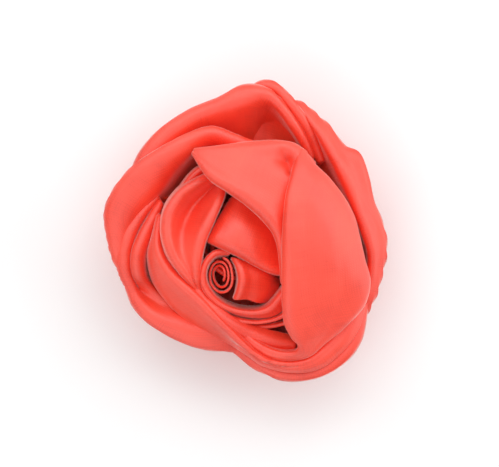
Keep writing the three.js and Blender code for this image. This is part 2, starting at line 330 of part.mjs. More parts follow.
// In this order each piece keeps its shape against the ones after it, which are cut back from it by GAP.
const PETALS = [
  { name: 'petal_fold_right', rails: petalFoldRight, thick: FOLD, along: 18, across: 6 },
  { name: 'petal_fold_upper', rails: petalFoldUpper, thick: FOLD, across: 6 },
  { name: 'bud_core', rails: budCore, thick: CORE.thick, along: 36, across: 2 },
  { name: 'bud_wrap', rails: budWrap, thick: ROLL, across: 3 },
  { name: 'bud_petal', rails: budPetal, thick: ROLL, along: 8 },
  { name: 'petal_inner_right', rails: petalInnerRight, thick: INNER_FOLD, along: 10 },
  { name: 'petal_inner_left', rails: petalInnerLeft, thick: INNER_FOLD, across: 6 },
  { name: 'wrap_inner', rails: wrapInner, thick: ROLL, along: 12, across: 2 },
  { name: 'wrap_middle', rails: wrapMiddle, thick: ROLL, along: 12, across: 2 },
  { name: 'wrap_outer', rails: wrapOuter, thick: OUTER_FOLD, along: 12, across: 3 },
  { name: 'petal_tuck', rails: petalTuck, thick: INNER_FOLD, along: 8, across: 2 },
  { name: 'petal_sweep', rails: petalSweep, thick: OUTER_FOLD, along: 18, across: 5 },
  { name: 'petal_left', rails: petalLeft, thick: OUTER_FOLD, across: 8 },
  { name: 'petal_lower_left', rails: petalLowerLeft, thick: OUTER_FOLD, across: 10 },
  { name: 'petal_bottom', rails: petalBottom, thick: OUTER_FOLD, along: 12, across: 6 },
  { name: 'petal_upper_right', rails: petalUpperRight, thick: OUTER_FOLD, along: 11, across: 6 },
  { name: 'petal_right', rails: petalRight, thick: OUTER_FOLD, across: 8 },
  { name: 'petal_top', rails: petalTop, thick: OUTER_FOLD, along: 17, across: 8 },
];

// ---- from rails to closed solids ----

const curveThrough = (points) => new THREE.CatmullRomCurve3(points, false, 'catmullrom', 0.5);
const vectorsOf = (rail) => rail.map(([x, y, z]) => new THREE.Vector3(x, y, z + FELT_TOP));

function middleRail(rails) {
  return rails[0].map((_, i) => {
    const sum = new THREE.Vector3();
    rails.forEach((rail) => sum.add(rail[i]));
    return sum.divideScalar(rails.length);
  });
}

// A point at a distance along a curve, straight on past either end.
function pointAtDistance(curve, distance) {
  const length = curve.getLength();
  const inside = THREE.MathUtils.clamp(distance, 0, length);
  const point = curve.getPointAt(inside / length);
  return point.addScaledVector(curve.getTangentAt(inside / length), distance - inside);
}

// The sheet's middle surface as columns of points. Past each folded edge and each end it reaches on by grow.
function columnsOf(rails, { thick, along, across, grow }) {
  const curves = rails.map(curveThrough);
  const middle = curveThrough(middleRail(rails));
  const columns = [];
  for (let i = 0; i <= along; i += 1) {
    const t = middle.getUtoTmapping(i / along);
    const column = curveThrough(curves.map((curve) => curve.getPoint(t)));
    const length = column.getLength();
    const edge = Math.min(thick / 2, length / 3);
    const stations = [-grow];
    for (let j = 0; j <= across; j += 1) stations.push(edge + (length - 2 * edge) * (j / across));
    stations.push(length + grow);
    columns.push(stations.map((distance) => pointAtDistance(column, distance)));
  }
  const reach = (from, to) => to.map((p, j) => {
    const outward = p.clone().sub(from[j]).normalize();
    return p.addScaledVector(outward, grow);
  });
  columns[0] = reach(columns[1], columns[0]);
  columns[along] = reach(columns[along - 1], columns[along]);
  return columns;
}

function normalAt(columns, i, j) {
  const last = columns.length - 1;
  const row = columns[i].length - 1;
  const du = columns[Math.min(i + 1, last)][j].clone().sub(columns[Math.max(i - 1, 0)][j]);
  const dv = columns[i][Math.min(j + 1, row)].clone().sub(columns[i][Math.max(j - 1, 0)]);
  return du.cross(dv).normalize();
}

// A box with bent faces: corners 0 to 3 above the sheet and 4 to 7 below them, as triangles.
const CELL = [0, 1, 2, 0, 2, 3, 4, 6, 5, 4, 7, 6, 0, 5, 1, 0, 4, 5, 3, 2, 6, 3, 6, 7, 0, 3, 7, 0, 7, 4,
  1, 6, 2, 1, 5, 6];

// The bit of sheet between four neighbouring points.
function sheetCell(above, below, i, j) {
  const corners = [[i, j], [i, j + 1], [i + 1, j + 1], [i + 1, j]];
  const points = [above, below].flatMap((face) => corners.map(([a, b]) => face[a][b]));
  return manifoldOf(points, CELL);
}

function manifoldOf(points, index) {
  const vertProperties = new Float32Array(points.flatMap((p) => [p.x, p.y, p.z]));
  const mesh = new wasm.Mesh({ numProp: 3, vertProperties, triVerts: new Uint32Array(index) });
  const body = new wasm.Manifold(mesh);
  if (body.volume() > 0) return body;
  mesh.triVerts = new Uint32Array(index).reverse();
  return new wasm.Manifold(mesh);
}

// The sheet as one solid, thinner at its folded edges and its ends. It is joined up from its
// cells, so that it can lie against itself in a tight fold.
function petalSolid({ rails, thick, along = ALONG, across = ACROSS }, grow = 0) {
  const columns = columnsOf(rails.map(vectorsOf), { thick, along, across, grow });
  const last = columns[0].length - 1;
  const offset = (side) => columns.map((column, i) => column.map((p, j) => {
    const thin = i === 0 || i === along || j === 0 || j === last;
    const half = (thin ? EDGE_SHARE : 1) * (thick / 2) + grow;
    return p.clone().addScaledVector(normalAt(columns, i, j), side * half);
  }));
  const [above, below] = [offset(1), offset(-1)];
  const cells = [];
  for (let i = 0; i < along; i += 1) {
    for (let j = 0; j < last; j += 1) cells.push(sheetCell(above, below, i, j));
  }
  const joined = wasm.Manifold.union(cells);
  cells.forEach((cell) => cell.delete());
  return joined;
}

// What a cut leaves, without its slivers and loose specks.
function largestPiece(body) {
  const pieces = fromGeometry(toGeometry(body.simplify(SPECK))).decompose();
  const largest = pieces.reduce((best, piece) => (piece.volume() > best.volume() ? piece : best));
  const pinched = pieces.length === 1 ? pinchedEdges(toGeometry(largest)) : [];
  if (pieces.length === 1 && pinched.length === 0) return largest;
  return largestPiece(pinched.reduce((left, [a, b]) => left.subtract(notch(a, b)), largest));
}

// The edges along which a body only touches itself, each as its two ends.
function pinchedEdges(geometry) {
  const position = geometry.getAttribute('position');
  const corner = (i) => new THREE.Vector3().fromBufferAttribute(position, i);
  const name = (point) => point.toArray().map((v) => Math.round(v / GRID)).join();
  const edges = new Map();
  for (let i = 0; i < geometry.index.count; i += 3) {
    const [a, b, c] = [0, 1, 2].map((k) => corner(geometry.index.getX(i + k)));
    [[a, b], [b, c], [c, a]].forEach((ends) => {
      const key = ends.map(name).sort().join(' ');
      edges.set(key, [...(edges.get(key) ?? []), ends]);
    });
  }
  return [...edges.values()].filter((sides) => sides.length > 2).map(([ends]) => ends);
}

function notch(a, b) {
  const cutter = new THREE.BoxGeometry(NOTCH, NOTCH, a.distanceTo(b) + NOTCH);
  cutter.applyQuaternion(new THREE.Quaternion().setFromUnitVectors(UP, b.clone().sub(a).normalize()));
  cutter.translate(...a.clone().lerp(b, 0.5));
  return fromGeometry(cutter);
}

function fromGeometry(geometry) {
  geometry.deleteAttribute('normal');
  geometry.deleteAttribute('uv');
  const merged = mergeVertices(geometry, GRID / 4);
  const position = merged.attributes.position;
  const points = [];
  for (let i = 0; i < position.count; i += 1) {
    points.push(new THREE.Vector3().fromBufferAttribute(position, i));
  }
  const index = [];
  for (let i = 0; i < merged.index.count; i += 3) {
    const triangle = [0, 1, 2].map((k) => merged.index.getX(i + k));
    if (new Set(triangle).size === 3) index.push(...triangle);
  }
  return manifoldOf(points, index);
}

function toGeometry(body) {
  const { numProp, vertProperties, triVerts } = body.getMesh();
  const positions = [];
  for (let i = 0; i < vertProperties.length; i += numProp) {
    for (let k = 0; k < 3; k += 1) positions.push(Math.round(vertProperties[i + k] / GRID) * GRID);
  }
  const geometry = new THREE.BufferGeometry();
  geometry.setAttribute('position', new THREE.Float32BufferAttribute(positions, 3));
  geometry.setIndex([...triVerts]);
  geometry.computeVertexNormals();
  return geometry;
}

// ---- shapes for the clip ----

function shapeOf(points) {
  return new THREE.Shape(points.map(([x, y]) => new THREE.Vector2(x, y)));
}

// A side view in X and Z, as thick along Y as from one y to the other.
function sideSlab(points, fromY, toY) {
  const geometry = new THREE.ExtrudeGeometry(shapeOf(points), { depth: toY - fromY, bevelEnabled: false });
  geometry.rotateX(Math.PI / 2);
  geometry.translate(0, toY, 0);
  return fromGeometry(geometry);
}

// An outline in X and Y, standing from one height to another.
function planSlab(points, fromZ, toZ) {
  const geometry = new THREE.ExtrudeGeometry(shapeOf(points), { depth: toZ - fromZ, bevelEnabled: false });
  geometry.translate(0, 0, fromZ);
  return fromGeometry(geometry);
}

// A bent strip's side view: the line through the points, with half the thickness on each side.
function stripOutline(points, thick) {
  const line = points.map(([x, y]) => new THREE.Vector2(x, y));
  const normal = line.map((p, i) => {
    const along = line[Math.min(i + 1, line.length - 1)].clone().sub(line[Math.max(i - 1, 0)]);
    return new THREE.Vector2(-along.y, along.x).normalize().multiplyScalar(thick / 2);
  });
  const above = line.map((p, i) => [p.x + normal[i].x, p.y + normal[i].y]);
  const below = line.map((p, i) => [p.x - normal[i].x, p.y - normal[i].y]);
  return [...above, ...below.reverse()];
}

function mirrored(points) {
  return [...points, ...points.map(([x, y]) => [x, -y]).reverse()];
}

function pivotHole() {
  const geometry = new THREE.CylinderGeometry(HOLE_RADIUS, HOLE_RADIUS, 20, 16);
  geometry.translate(PIVOT.x, 0, PIVOT.z);
  return fromGeometry(geometry);
}

function earPair(outline, { inner, thick }) {
  return sideSlab(outline, inner, inner + thick).add(sideSlab(outline, -inner - thick, -inner));
}

function upperArm() {
  const { tail, tip, z, half } = ARM;
  const plan = mirrored([[tail, half - 1.6], [tail + 1.2, half], [tip - 9, half], [tip - 1.6, half - 1.4],
    [tip, half - 3]]);
  const plate = planSlab(plan, z - SHEET / 2, z + SHEET / 2);
  const { x } = PIVOT;
  const ear = [[x - 3.2, z], [x - 2.2, 4.6], [x - 1.3, 3.6], [x, 3.2], [x + 1.3, 3.6], [x + 2.2, 4.6],
    [x + 3.2, z]];
  return plate.add(earPair(ear, ARM_EAR)).subtract(pivotHole());
}

function jawLine() {
  return [[-24.6, 1.4], [-22.5, 0.7], [-19.5, 0.7], [-12, 2.1], [-6, 2.1], [2, 2.8], [10, 4.2], [17, 5.8],
    [21, 6.35], [23.8, 6.2]];
}

// Ridges across the jaw's upper face that grip the hair.
function jawTeeth() {
  const teeth = [];
  for (let i = 0; i < TEETH.count; i += 1) {
    const x = TEETH.first + i * TEETH.pitch;
    const z = 5 + 0.2 * (x - TEETH.first);
    teeth.push(sideSlab([[x - 0.7, z], [x + 0.7, z + 0.2], [x + 0.2, z + TEETH.height + 0.4]], -1.9, 1.9));
  }
  return teeth;
}

function lowerJaw() {
  const strip = sideSlab(stripOutline(jawLine(), SHEET), -6, 6);
  const plan = mirrored([[-25, 2.6], [-23.6, 3.8], [-20, 4.1], [-13, 3.4], [-5, 3.4], [4, 2.6], [20, 2.2],
    [23.4, 1.5], [24.2, 0.8]]);
  const plate = strip.intersect(planSlab(plan, -2, 9));
  const { x } = PIVOT;
  const ear = [[x - 3, 2.1], [x - 2, 5.1], [x - 1.2, 6], [x, 6.3], [x + 1.2, 6], [x + 2, 5.1], [x + 3, 2.1]];
  const body = plate.add(earPair(ear, JAW_EAR)).subtract(pivotHole());
  return jawTeeth().reduce((sum, tooth) => sum.add(tooth), body);
}

function hingePin() {
  const { radius, head, half, headThick } = PIN;
  const end = half + headThick;
  const profile = [[0, -end], [head, -end], [head, -half], [radius, -half], [radius, half], [head, half],
    [head, end], [0, end]].map(([r, y]) => new THREE.Vector2(r, y));
  const geometry = new THREE.LatheGeometry(profile, 16);
  geometry.translate(PIVOT.x, 0, PIVOT.z);
  return fromGeometry(geometry);
}

function tubeAlong(points, radius, steps, sides = 6) {
  const round = [];
  for (let i = 0; i < sides; i += 1) {
    const angle = (i / sides) * 2 * Math.PI;
    round.push([radius * Math.cos(angle), radius * Math.sin(angle)]);
  }
  const extrudePath = curveThrough(points);
  return fromGeometry(new THREE.ExtrudeGeometry(shapeOf(round), { steps, extrudePath, bevelEnabled: false }));
}

// A leg under the arm, the turns round the pin, and a leg on the jaw's tail.
function torsionSpring() {
  const { radius, wire, half, turns, legEnd } = COIL;
  const armLeg = ARM.z - SHEET / 2 - GAP - wire;
  const points = [
    new THREE.Vector3(legEnd, half + 0.1, armLeg),
    new THREE.Vector3(-12.6, half + 0.1, armLeg - 0.4),
  ];
  const perTurn = 8;
  for (let i = 0; i <= turns * perTurn; i += 1) {
    const angle = (i / perTurn) * 2 * Math.PI;
    const y = half - (2 * half * i) / (turns * perTurn);
    points.push(new THREE.Vector3(PIVOT.x + radius * Math.sin(angle), y, PIVOT.z + radius * Math.cos(angle)));
  }
  points.push(new THREE.Vector3(-12.6, -half - 0.1, 2.95), new THREE.Vector3(legEnd, -half - 0.1, 2.4));
  return tubeAlong(points, wire, 64);
}

// ---- felt, ribbon and thread ----

function feltDisc() {
  const geometry = new THREE.CylinderGeometry(FELT_RADIUS, FELT_RADIUS, FELT_THICK, 32);
  geometry.rotateX(Math.PI / 2);
  geometry.translate(0, 0, FELT_TOP - GAP - FELT_THICK / 2);
  return fromGeometry(geometry);
}

// A band of felt under the arm, sewn to the disc on both sides of it.
function feltStrap() {
  const { from, to, thick } = STRAP;
  const line = [[-10, 8.2], [-6.3, 8.2], [-4.9, 7.1], [4.9, 7.1], [6.3, 8.2], [10, 8.2]];
  const outline = stripOutline(line, thick);
  const geometry = new THREE.ExtrudeGeometry(shapeOf(outline), { depth: to - from, bevelEnabled: false });
  geometry.rotateX(Math.PI / 2);
  geometry.rotateZ(Math.PI / 2);
  geometry.translate(from, 0, 0);
  return fromGeometry(geometry);
}

function ribbonLining() {
  const { from, to, half, thick } = RIBBON;
  const top = ARM.z - SHEET / 2 - GAP;
  const plan = mirrored([[from, half], [to - 8, half], [to - 1.4, half - 1.2], [to, half - 2.6]]);
  return planSlab(plan, top - thick, top);
}

function stitchArc(side) {
  const { radius, wire, clear } = STITCH;
  const points = [];
  for (let degrees = clear; degrees <= 180 - clear; degrees += 10) {
    const angle = THREE.MathUtils.degToRad(degrees);
    const y = side * radius * Math.sin(angle);
    points.push(new THREE.Vector3(radius * Math.cos(angle), y, FELT_TOP - FELT_THICK - 2 * GAP - wire));
  }
  return tubeAlong(points, wire, 24, 5);
}

// The rolled, gathered inside of the strip, which the folds that show are wrapped round and sewn to.
function rolledCore() {
  const profile = [[0, 0.3], [11.4, 0.3], [12.6, 3], [15, 7], [15, 9.5], [12, 12], [0, 13]];
  const points = profile.map(([r, z]) => new THREE.Vector2(r, z));
  const geometry = new THREE.LatheGeometry(points, 24);
  geometry.rotateX(Math.PI / 2);
  geometry.translate(0, 0, FELT_TOP);
  return fromGeometry(geometry);
}

// ---- assembly ----

const MATERIALS = {
  satin: new THREE.MeshStandardMaterial({ color: 0xf4584a, roughness: 0.5 }),
  felt: new THREE.MeshStandardMaterial({ color: 0xd94a3e, roughness: 1 }),
  steel: new THREE.MeshStandardMaterial({ color: 0xc8c8cc, roughness: 0.3, metalness: 1 }),
  ribbon: new THREE.MeshStandardMaterial({ color: 0xe6584a, roughness: 0.8 }),
  thread: new THREE.MeshStandardMaterial({ color: 0xe86a5c, roughness: 0.7 }),
};

const group = new THREE.Group();
group.name = 'flower_hair_clip';

function place(name, body, slot) {
  const mesh = new THREE.Mesh(toGeometry(body), MATERIALS[slot]);
  mesh.name = name;
  group.add(mesh);
}

// Each petal lies outside the ones before it, with a gap all round. Where the gap closes up in
// the bottom of a tight fold, what is left of the overlap goes too.
function placeRose() {
  const taken = [];
  const made = [];
  const cutBack = (body) => taken.reduce((left, other) => left.subtract(other), body);
  const clear = (body) => made.reduce((left, other) => (
    left.intersect(other).volume() > 0 ? left.subtract(other) : left
  ), body);
  PETALS.forEach((petal) => {
    const body = largestPiece(clear(largestPiece(cutBack(petalSolid(petal)))));
    place(petal.name, body, 'satin');
    taken.push(petalSolid(petal, GAP));
    made.push(body);
  });
  place('rolled_core', largestPiece(cutBack(rolledCore())), 'satin');
}

placeRose();
place('felt_disc', feltDisc(), 'felt');
place('felt_strap', feltStrap(), 'felt');
place('stitching_back', stitchArc(1), 'thread');
place('stitching_front', stitchArc(-1), 'thread');
place('clip_arm', upperArm(), 'steel');
place('clip_jaw', lowerJaw(), 'steel');
place('hinge_pin', hingePin(), 'steel');
place('torsion_spring', torsionSpring(), 'steel');
place('ribbon_lining', ribbonLining(), 'ribbon');

// The clip stands on z = 0 with the middle of its box on the z axis.
const box = new THREE.Box3().setFromObject(group);
const middle = box.getCenter(new THREE.Vector3());
const shift = [-middle.x, -middle.y, -box.min.z].map((length) => Math.round(length / GRID) * GRID);
group.children.forEach((mesh) => mesh.geometry.translate(...shift));

export default group;
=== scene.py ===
"""Flower hair clip: satin rose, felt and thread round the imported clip. In metres, in the CAD's frame."""
import math

import bpy
import numpy as np
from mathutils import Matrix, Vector, noise


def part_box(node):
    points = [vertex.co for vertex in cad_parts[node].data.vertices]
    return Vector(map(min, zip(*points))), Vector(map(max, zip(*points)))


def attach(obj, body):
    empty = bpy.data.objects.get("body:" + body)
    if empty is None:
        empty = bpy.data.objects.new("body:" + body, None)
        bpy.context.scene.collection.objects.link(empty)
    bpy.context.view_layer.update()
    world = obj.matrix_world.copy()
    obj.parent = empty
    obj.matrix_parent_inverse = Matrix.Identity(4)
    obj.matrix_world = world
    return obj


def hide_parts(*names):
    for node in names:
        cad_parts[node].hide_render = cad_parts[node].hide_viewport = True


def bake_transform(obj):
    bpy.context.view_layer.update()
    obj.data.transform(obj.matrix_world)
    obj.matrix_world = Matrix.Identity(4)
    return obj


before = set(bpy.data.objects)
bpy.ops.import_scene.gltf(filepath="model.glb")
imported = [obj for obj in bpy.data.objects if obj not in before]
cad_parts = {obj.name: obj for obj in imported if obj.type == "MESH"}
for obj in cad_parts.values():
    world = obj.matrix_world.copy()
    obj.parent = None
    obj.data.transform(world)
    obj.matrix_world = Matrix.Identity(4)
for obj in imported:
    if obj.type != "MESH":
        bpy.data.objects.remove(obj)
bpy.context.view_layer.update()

MM = 0.001
FELT_TOP = 10.5  # mm: where the petals are sewn down, before CLIP_SHIFT
ROOT_RADIUS, ROOT_HEIGHT = 12.5, 1.2  # the circle that the outer petals are gathered in to
BELLY_SHARE, BELLY_HEIGHT = 0.8, 4.4  # under an outer petal, between its root and its rim
EDGE_RISE = 0.55  # how far a rim is rolled up towards the first rail inside it
EDGE_STEPS = 4
DRAG, PUFF, CRUMPLE = 0.16, 0.10, 0.05  # mm: drag lines along the satin, soft swells, small crumples
PLEAT = 0.30  # mm: the radial folds at the root of an outer petal
SMALLEST_CUT = 0.01  # metres
FELT_GAP = 0.3  # mm of air between the felt and the petals
STATIC, JAW = "rose_and_arm", "jaw"

disc_low, disc_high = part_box("felt_disc")  # the rose and the clip are laid out about its middle
CLIP_SHIFT = Vector((
    (disc_low.x + disc_high.x) / 2 / MM,
    (disc_low.y + disc_high.y) / 2 / MM,
    disc_high.z / MM - (FELT_TOP - FELT_GAP),
))


def root(rim):
    out = []
    for x, y, _ in rim:
        k = ROOT_RADIUS / math.hypot(x, y)
        out.append((x * k, y * k, ROOT_HEIGHT))
    return out


def belly(rim):
    return [(x * BELLY_SHARE, y * BELLY_SHARE, BELLY_HEIGHT) for x, y, _ in rim]


def rolled(rim, *inner):
    """An outer petal: from its root under the rose, out to the rim and over to the inside."""
    edge = [(x, y, z + EDGE_RISE * (crest[2] - z)) for (x, y, z), crest in zip(rim, inner[0])]
    return [root(rim), belly(rim), edge, *inner]


PETALS = {}

PETALS["petal_fold_right"] = dict(thick=1.0, rows=[
    [(12.9, 20.0, 13), (12.8, 17.4, 14), (12.4, 13.8, 15), (11.4, 8, 16), (10.9, 1.5, 16), (10.8, -5, 16),
     (10.8, -11.5, 16), (10.8, -17.5, 15.4), (11.2, -22.3, 14.6), (12.8, -25.6, 13.6), (14.4, -28, 12.6),
     (13.2, -29.7, 11.8), (8.8, -29.7, 11), (3.6, -27.2, 10.4), (-1.4, -23, 9.8)],
    [(13.0, 20.6, 18.0), (12.9, 18.0, 19.3), (12.1, 14.2, 21.7), (10.7, 8.2, 23.8), (10.2, 1.5, 24.6),
     (10.1, -5, 24.6), (10, -11.5, 24.2), (10, -17.5, 23.4), (10.4, -22.5, 21.8), (12.1, -26, 19.8),
     (13.8, -28.3, 18), (12.8, -30.2, 16.2), (8.8, -30.3, 14.8), (3.4, -28, 14), (-1.8, -23.6, 13.2)],
    [(13.6, 20.8, 18.6), (13.9, 17.9, 20.8), (14.1, 14.0, 22.6), (14.4, 8, 24.0), (15, 2, 24.4),
     (15.5, -4, 24.4), (15.6, -10, 24), (15.5, -16, 23), (15.2, -21.5, 21.4), (16, -25.4, 19.6),
     (16, -28.2, 17.6), (14, -30.6, 16.2), (8.8, -30.9, 15), (3.2, -28.6, 14.2), (-2.1, -24.1, 13.4)],
    [(14.2, 20.7, 18.6), (15.6, 17.5, 20.2), (17.2, 13.4, 21.6), (19.2, 8, 22.4), (21.2, 2.5, 22.6),
     (22.4, -3, 22.6), (23.2, -9, 22), (23, -14.5, 20.8), (22, -19.8, 19.2), (20.4, -24.3, 17.8),
     (18, -27.8, 16.6), (14.8, -30.9, 15.6), (8.8, -31.4, 14.8), (3, -29.1, 14), (-2.4, -24.5, 13.2)],
    [(14.8, 20.2, 18.0), (16.8, 16.9, 18.6), (20.3, 13.4, 18.6), (24, 8.8, 18.2), (26.8, 3.5, 17.8),
     (28.3, -2, 17.8), (29.6, -8, 17.6), (30.6, -13, 17), (29.2, -18.6, 16.2), (24.8, -23.6, 15.6),
     (19.8, -27.7, 15.2), (15.4, -31.1, 14.6), (8.8, -31.8, 14), (2.8, -29.6, 13.2),
     (-2.7, -24.9, 12.6)],
    [(14.9, 19.2, 12.4), (17, 16, 10.4), (20.2, 13, 9.4), (23.6, 8.4, 8.6), (26.2, 3.2, 8.4),
     (27.6, -2, 8.4), (28.9, -8.2, 8.6), (29.9, -13.2, 9), (28.6, -18.8, 9.6), (24.6, -23.4, 10),
     (19.8, -27.8, 10.6), (15.5, -31.6, 11), (8.8, -32.1, 11), (2.6, -30, 10.6), (-2.9, -25.2, 10)],
])

PETALS["petal_fold_upper"] = dict(thick=1.0, rows=[
    [(-11.4, 18.6, 12), (-9.4, 15.4, 12), (-6.8, 12.2, 12), (-2.8, 9.2, 12.6), (1.6, 6.2, 13),
     (5.6, 2.6, 13.4), (8.4, -1.4, 13.6), (9.7, -7, 14), (10.2, -12.5, 14)],
    [(-12.7, 19.5, 19.6), (-10.8, 16.4, 21.8), (-8.3, 13.2, 23.2), (-4, 10.3, 24), (0.4, 7.3, 24.2),
     (4.8, 3.5, 23.8), (7.9, -0.8, 22.8), (9.2, -6.7, 21.4), (9.7, -12.5, 20)],
    [(-12.6, 19.7, 19.7), (-9.8, 17.6, 22.0), (-6.4, 15.6, 23.0), (-2.2, 13.6, 23.6), (2.2, 11.6, 23.6),
     (6.4, 9, 23.2), (9.6, 5.6, 22.2), (12.2, 1.5, 20.6), (14.2, -2, 19.2)],
    [(-12.5, 19.9, 19.6), (-9.4, 19.2, 21.4), (-5, 18.6, 22), (0, 18.2, 22.2), (4.4, 17.8, 22.2),
     (8.4, 16.8, 21.8), (11.8, 14.6, 21.2), (14.6, 11.4, 20), (17, 8, 18.6)],
    [(-12.4, 20.0, 19.4), (-9, 20.3, 20.2), (-4, 21.0, 20.4), (1, 21.6, 20.4), (5.2, 21.9, 20.4),
     (9.2, 21.7, 20.2), (12.6, 20.9, 19.8), (15.2, 18.8, 18.8), (17.7, 16, 17.8)],
    [(-10.8, 19.6, 12), (-7.8, 20.2, 11), (-3.6, 20.8, 10.6), (1, 21.3, 10.6), (5.2, 21.6, 10.6),
     (9.2, 21.4, 10.6), (12.6, 20.6, 10.6), (15.4, 18.4, 10.6), (17.8, 15.6, 10.4)],
], dents=[(9.6, 18.6, 2.6, 2.3), (10.9, 16.8, 1.5, 2.0), (11.4, 14.6, 1.0, 1.4)])

# bud: a roll that winds outwards from the hollow at its heart, and opens a little at its upper edge
HEART_X, HEART_Y, FLARE = -5.8, -10.8, 1.03
CORE_BASE, CORE_LIP = 5.5, 2.6
core = [(-5.2, -12.6), (-4.8, -11.2), (-5.0, -9.6), (-5.9, -8.7), (-7.0, -9.1), (-7.6, -10.6),
    (-7.2, -12.6), (-6.0, -13.9), (-4.6, -13.6),
        (-3.9, -12.1), (-3.9, -10.1), (-4.6, -8.3), (-6.0, -7.6), (-7.6, -8.4), (-8.4, -10.6),
        (-8.0, -13.2), (-6.3, -15.0), (-4.4, -14.9),
        (-3.1, -13.2), (-3.0, -10.4), (-3.8, -7.7), (-5.3, -6.6)]
core_z = [
    14.6, 15.6, 15.8, 15, 13.8, 12.8, 13, 14.2, 15.6, 16.6, 17,
    16.6, 15.8, 14.6, 13.8, 14, 15, 16.2, 17.2, 17.8, 17.6, 17.2,
]
PETALS["bud_core"] = dict(thick=0.55, rows=[
    [(x, y, CORE_BASE) for x, y in core],
    [(x, y, z - CORE_LIP) for (x, y), z in zip(core, core_z)],
    [
        (HEART_X + (x - HEART_X) * FLARE, HEART_Y + (y - HEART_Y) * FLARE, z)
        for (x, y), z in zip(core, core_z)
    ],
])
PETALS["bud_wrap"] = dict(thick=0.8, rows=[
    [(-4.4, -6.4, 9), (-7.2, -7, 9), (-8.9, -9, 9), (-9.3, -11.5, 9), (-8.5, -13.9, 9), (-6.6, -16.2, 9),
     (-4.1, -17.8, 9), (-0.8, -18.8, 9), (3, -19, 9), (5.6, -18.2, 9), (7.6, -16.2, 9),
     (9.6, -13.6, 9)],
    [(-3.4, -5.7, 16), (-6.9, -6, 16.8), (-9.1, -8.3, 17), (-9.8, -11.3, 16.8), (-9, -14.1, 16.2),
     (-7, -16.7, 15.4), (-4.3, -18.5, 14.8), (-0.9, -19.5, 14.4), (3, -19.7, 14.4), (5.9, -18.8, 14.8),
     (8, -16.6, 15.2), (10, -14, 15.6)],
    [(-3, -5.2, 17), (-7, -5.3, 18.2), (-9.6, -8, 18.6), (-10.4, -11.4, 18.4), (-9.5, -14.5, 17.8),
     (-7.3, -17.2, 17), (-4.5, -19.1, 16.2), (-1, -20.2, 15.8), (3.1, -20.5, 15.8), (6.5, -19.5, 16),
     (8.8, -17.2, 16.4), (10.8, -14.6, 16.8)],
    [(-2.8, -4.9, 15.8), (-7.2, -5, 16.8), (-10.1, -7.9, 17), (-10.9, -11.5, 16.8), (-10, -14.8, 16),
     (-7.7, -17.6, 15), (-4.8, -19.7, 14), (-1.1, -21, 13.4), (3.4, -21.6, 13.2), (7.6, -21, 13.4),
     (10.4, -18.8, 14), (12.2, -15.8, 14.8)],
])

PETALS["bud_petal"] = dict(thick=0.8, rows=[
    [(-3.2, -6.8, 10), (-2.2, -9, 9), (-1.7, -12, 9), (-2, -14.8, 9), (-2.6, -16.8, 10)],
    [(-2.8, -6.5, 17.2), (-1.5, -9, 18.6), (-0.9, -12, 18.8), (-1.4, -14.8, 18.2), (-2.2, -17.1, 16.8)],
    [(-0.4, -7.3, 17), (1.0, -9.8, 17.6), (1.6, -12.4, 17.4), (1.2, -15, 16.8), (0.6, -17, 15.6)],
    [(3.4, -8.8, 15), (5.0, -11, 15.2), (5.4, -13.2, 14.8), (4.8, -15.8, 14.4), (3.2, -17.9, 14)],
    [(7.2, -10.5, 10), (8.6, -12, 10), (8.7, -13.8, 10), (7.6, -16, 10), (5.6, -18, 10)],
])

PETALS["petal_inner_right"] = dict(thick=0.9, rows=[
    [(-8.9, -2.6, 12), (-7.2, -3.5, 12), (-3.8, -5, 12), (-0.1, -7, 12), (3.7, -9.2, 12),
     (7.3, -10.6, 12), (10.6, -11.1, 11.5)],
    [(-8.9, -2, 17.6), (-7.1, -2.7, 19.4), (-3.8, -4.2, 20), (-0.1, -6.1, 19.6), (3.6, -8.3, 18.4),
     (7.2, -9.8, 17), (10.5, -10.4, 15.6)],
    [(-6.7, 2.4, 16.4), (-4.4, 2.2, 19), (-1.5, 1, 20.4), (2.1, -1.4, 19.4), (5.1, -4, 17.4),
     (8, -6.4, 15.4), (10.9, -7.5, 14)],
    [(-3.2, 8.2, 14), (-1.4, 8.6, 15.8), (1, 7.4, 16.8), (4.2, 4.8, 16.2), (6.8, 1.4, 14.8),
     (9, -1.6, 13.4), (11.4, -3, 12.4)],
])

# inner left petal, an arch: outer drop, left crest, valley, right ridge, inner drop
PETALS["petal_inner_left"] = dict(thick=0.9, rows=[
    [(-7, 15.6, 12), (-12.4, 13.4, 11), (-17, 10.2, 10), (-20.2, 5.2, 10), (-20.8, -0.8, 10),
     (-19.6, -6.2, 10), (-16.9, -10.6, 10), (-13.8, -14.2, 10), (-11.2, -17.4, 8)],
    [(-7, 14.2, 17.5), (-11.6, 12, 19.4), (-15.8, 9.1, 20), (-18.8, 4.6, 20.6), (-19.5, -0.8, 20.8),
     (-18.3, -5.6, 20.2), (-15.8, -9.6, 19.2), (-12.9, -13.3, 17.6), (-10.6, -16.6, 14.4)],
    [(-6, 12.6, 13.4), (-9.2, 9.8, 13.6), (-12.2, 6.6, 13.8), (-14.4, 2.6, 15.4), (-15.4, -1.6, 17.6),
     (-15, -5.6, 18.8), (-13.7, -9, 18.8), (-12.1, -13, 17.6), (-10.2, -16.4, 14.4)],
    [(-5, 11, 17.5), (-5.8, 8.2, 19.4), (-7.2, 5, 20.4), (-8.7, 1.7, 20.8), (-10.1, -1.7, 20.8),
     (-10.9, -5.3, 20.4), (-11.3, -8.8, 19.6), (-11.3, -12.8, 17.8), (-9.9, -16.1, 14.4)],
    [(-4.6, 10.2, 12), (-5.3, 7.5, 12), (-6.6, 4.4, 12), (-8.1, 1.2, 12), (-9.5, -2, 12),
     (-10.4, -5.5, 12), (-10.8, -9, 12), (-10.9, -12.8, 12), (-9.6, -15.8, 10)],
])

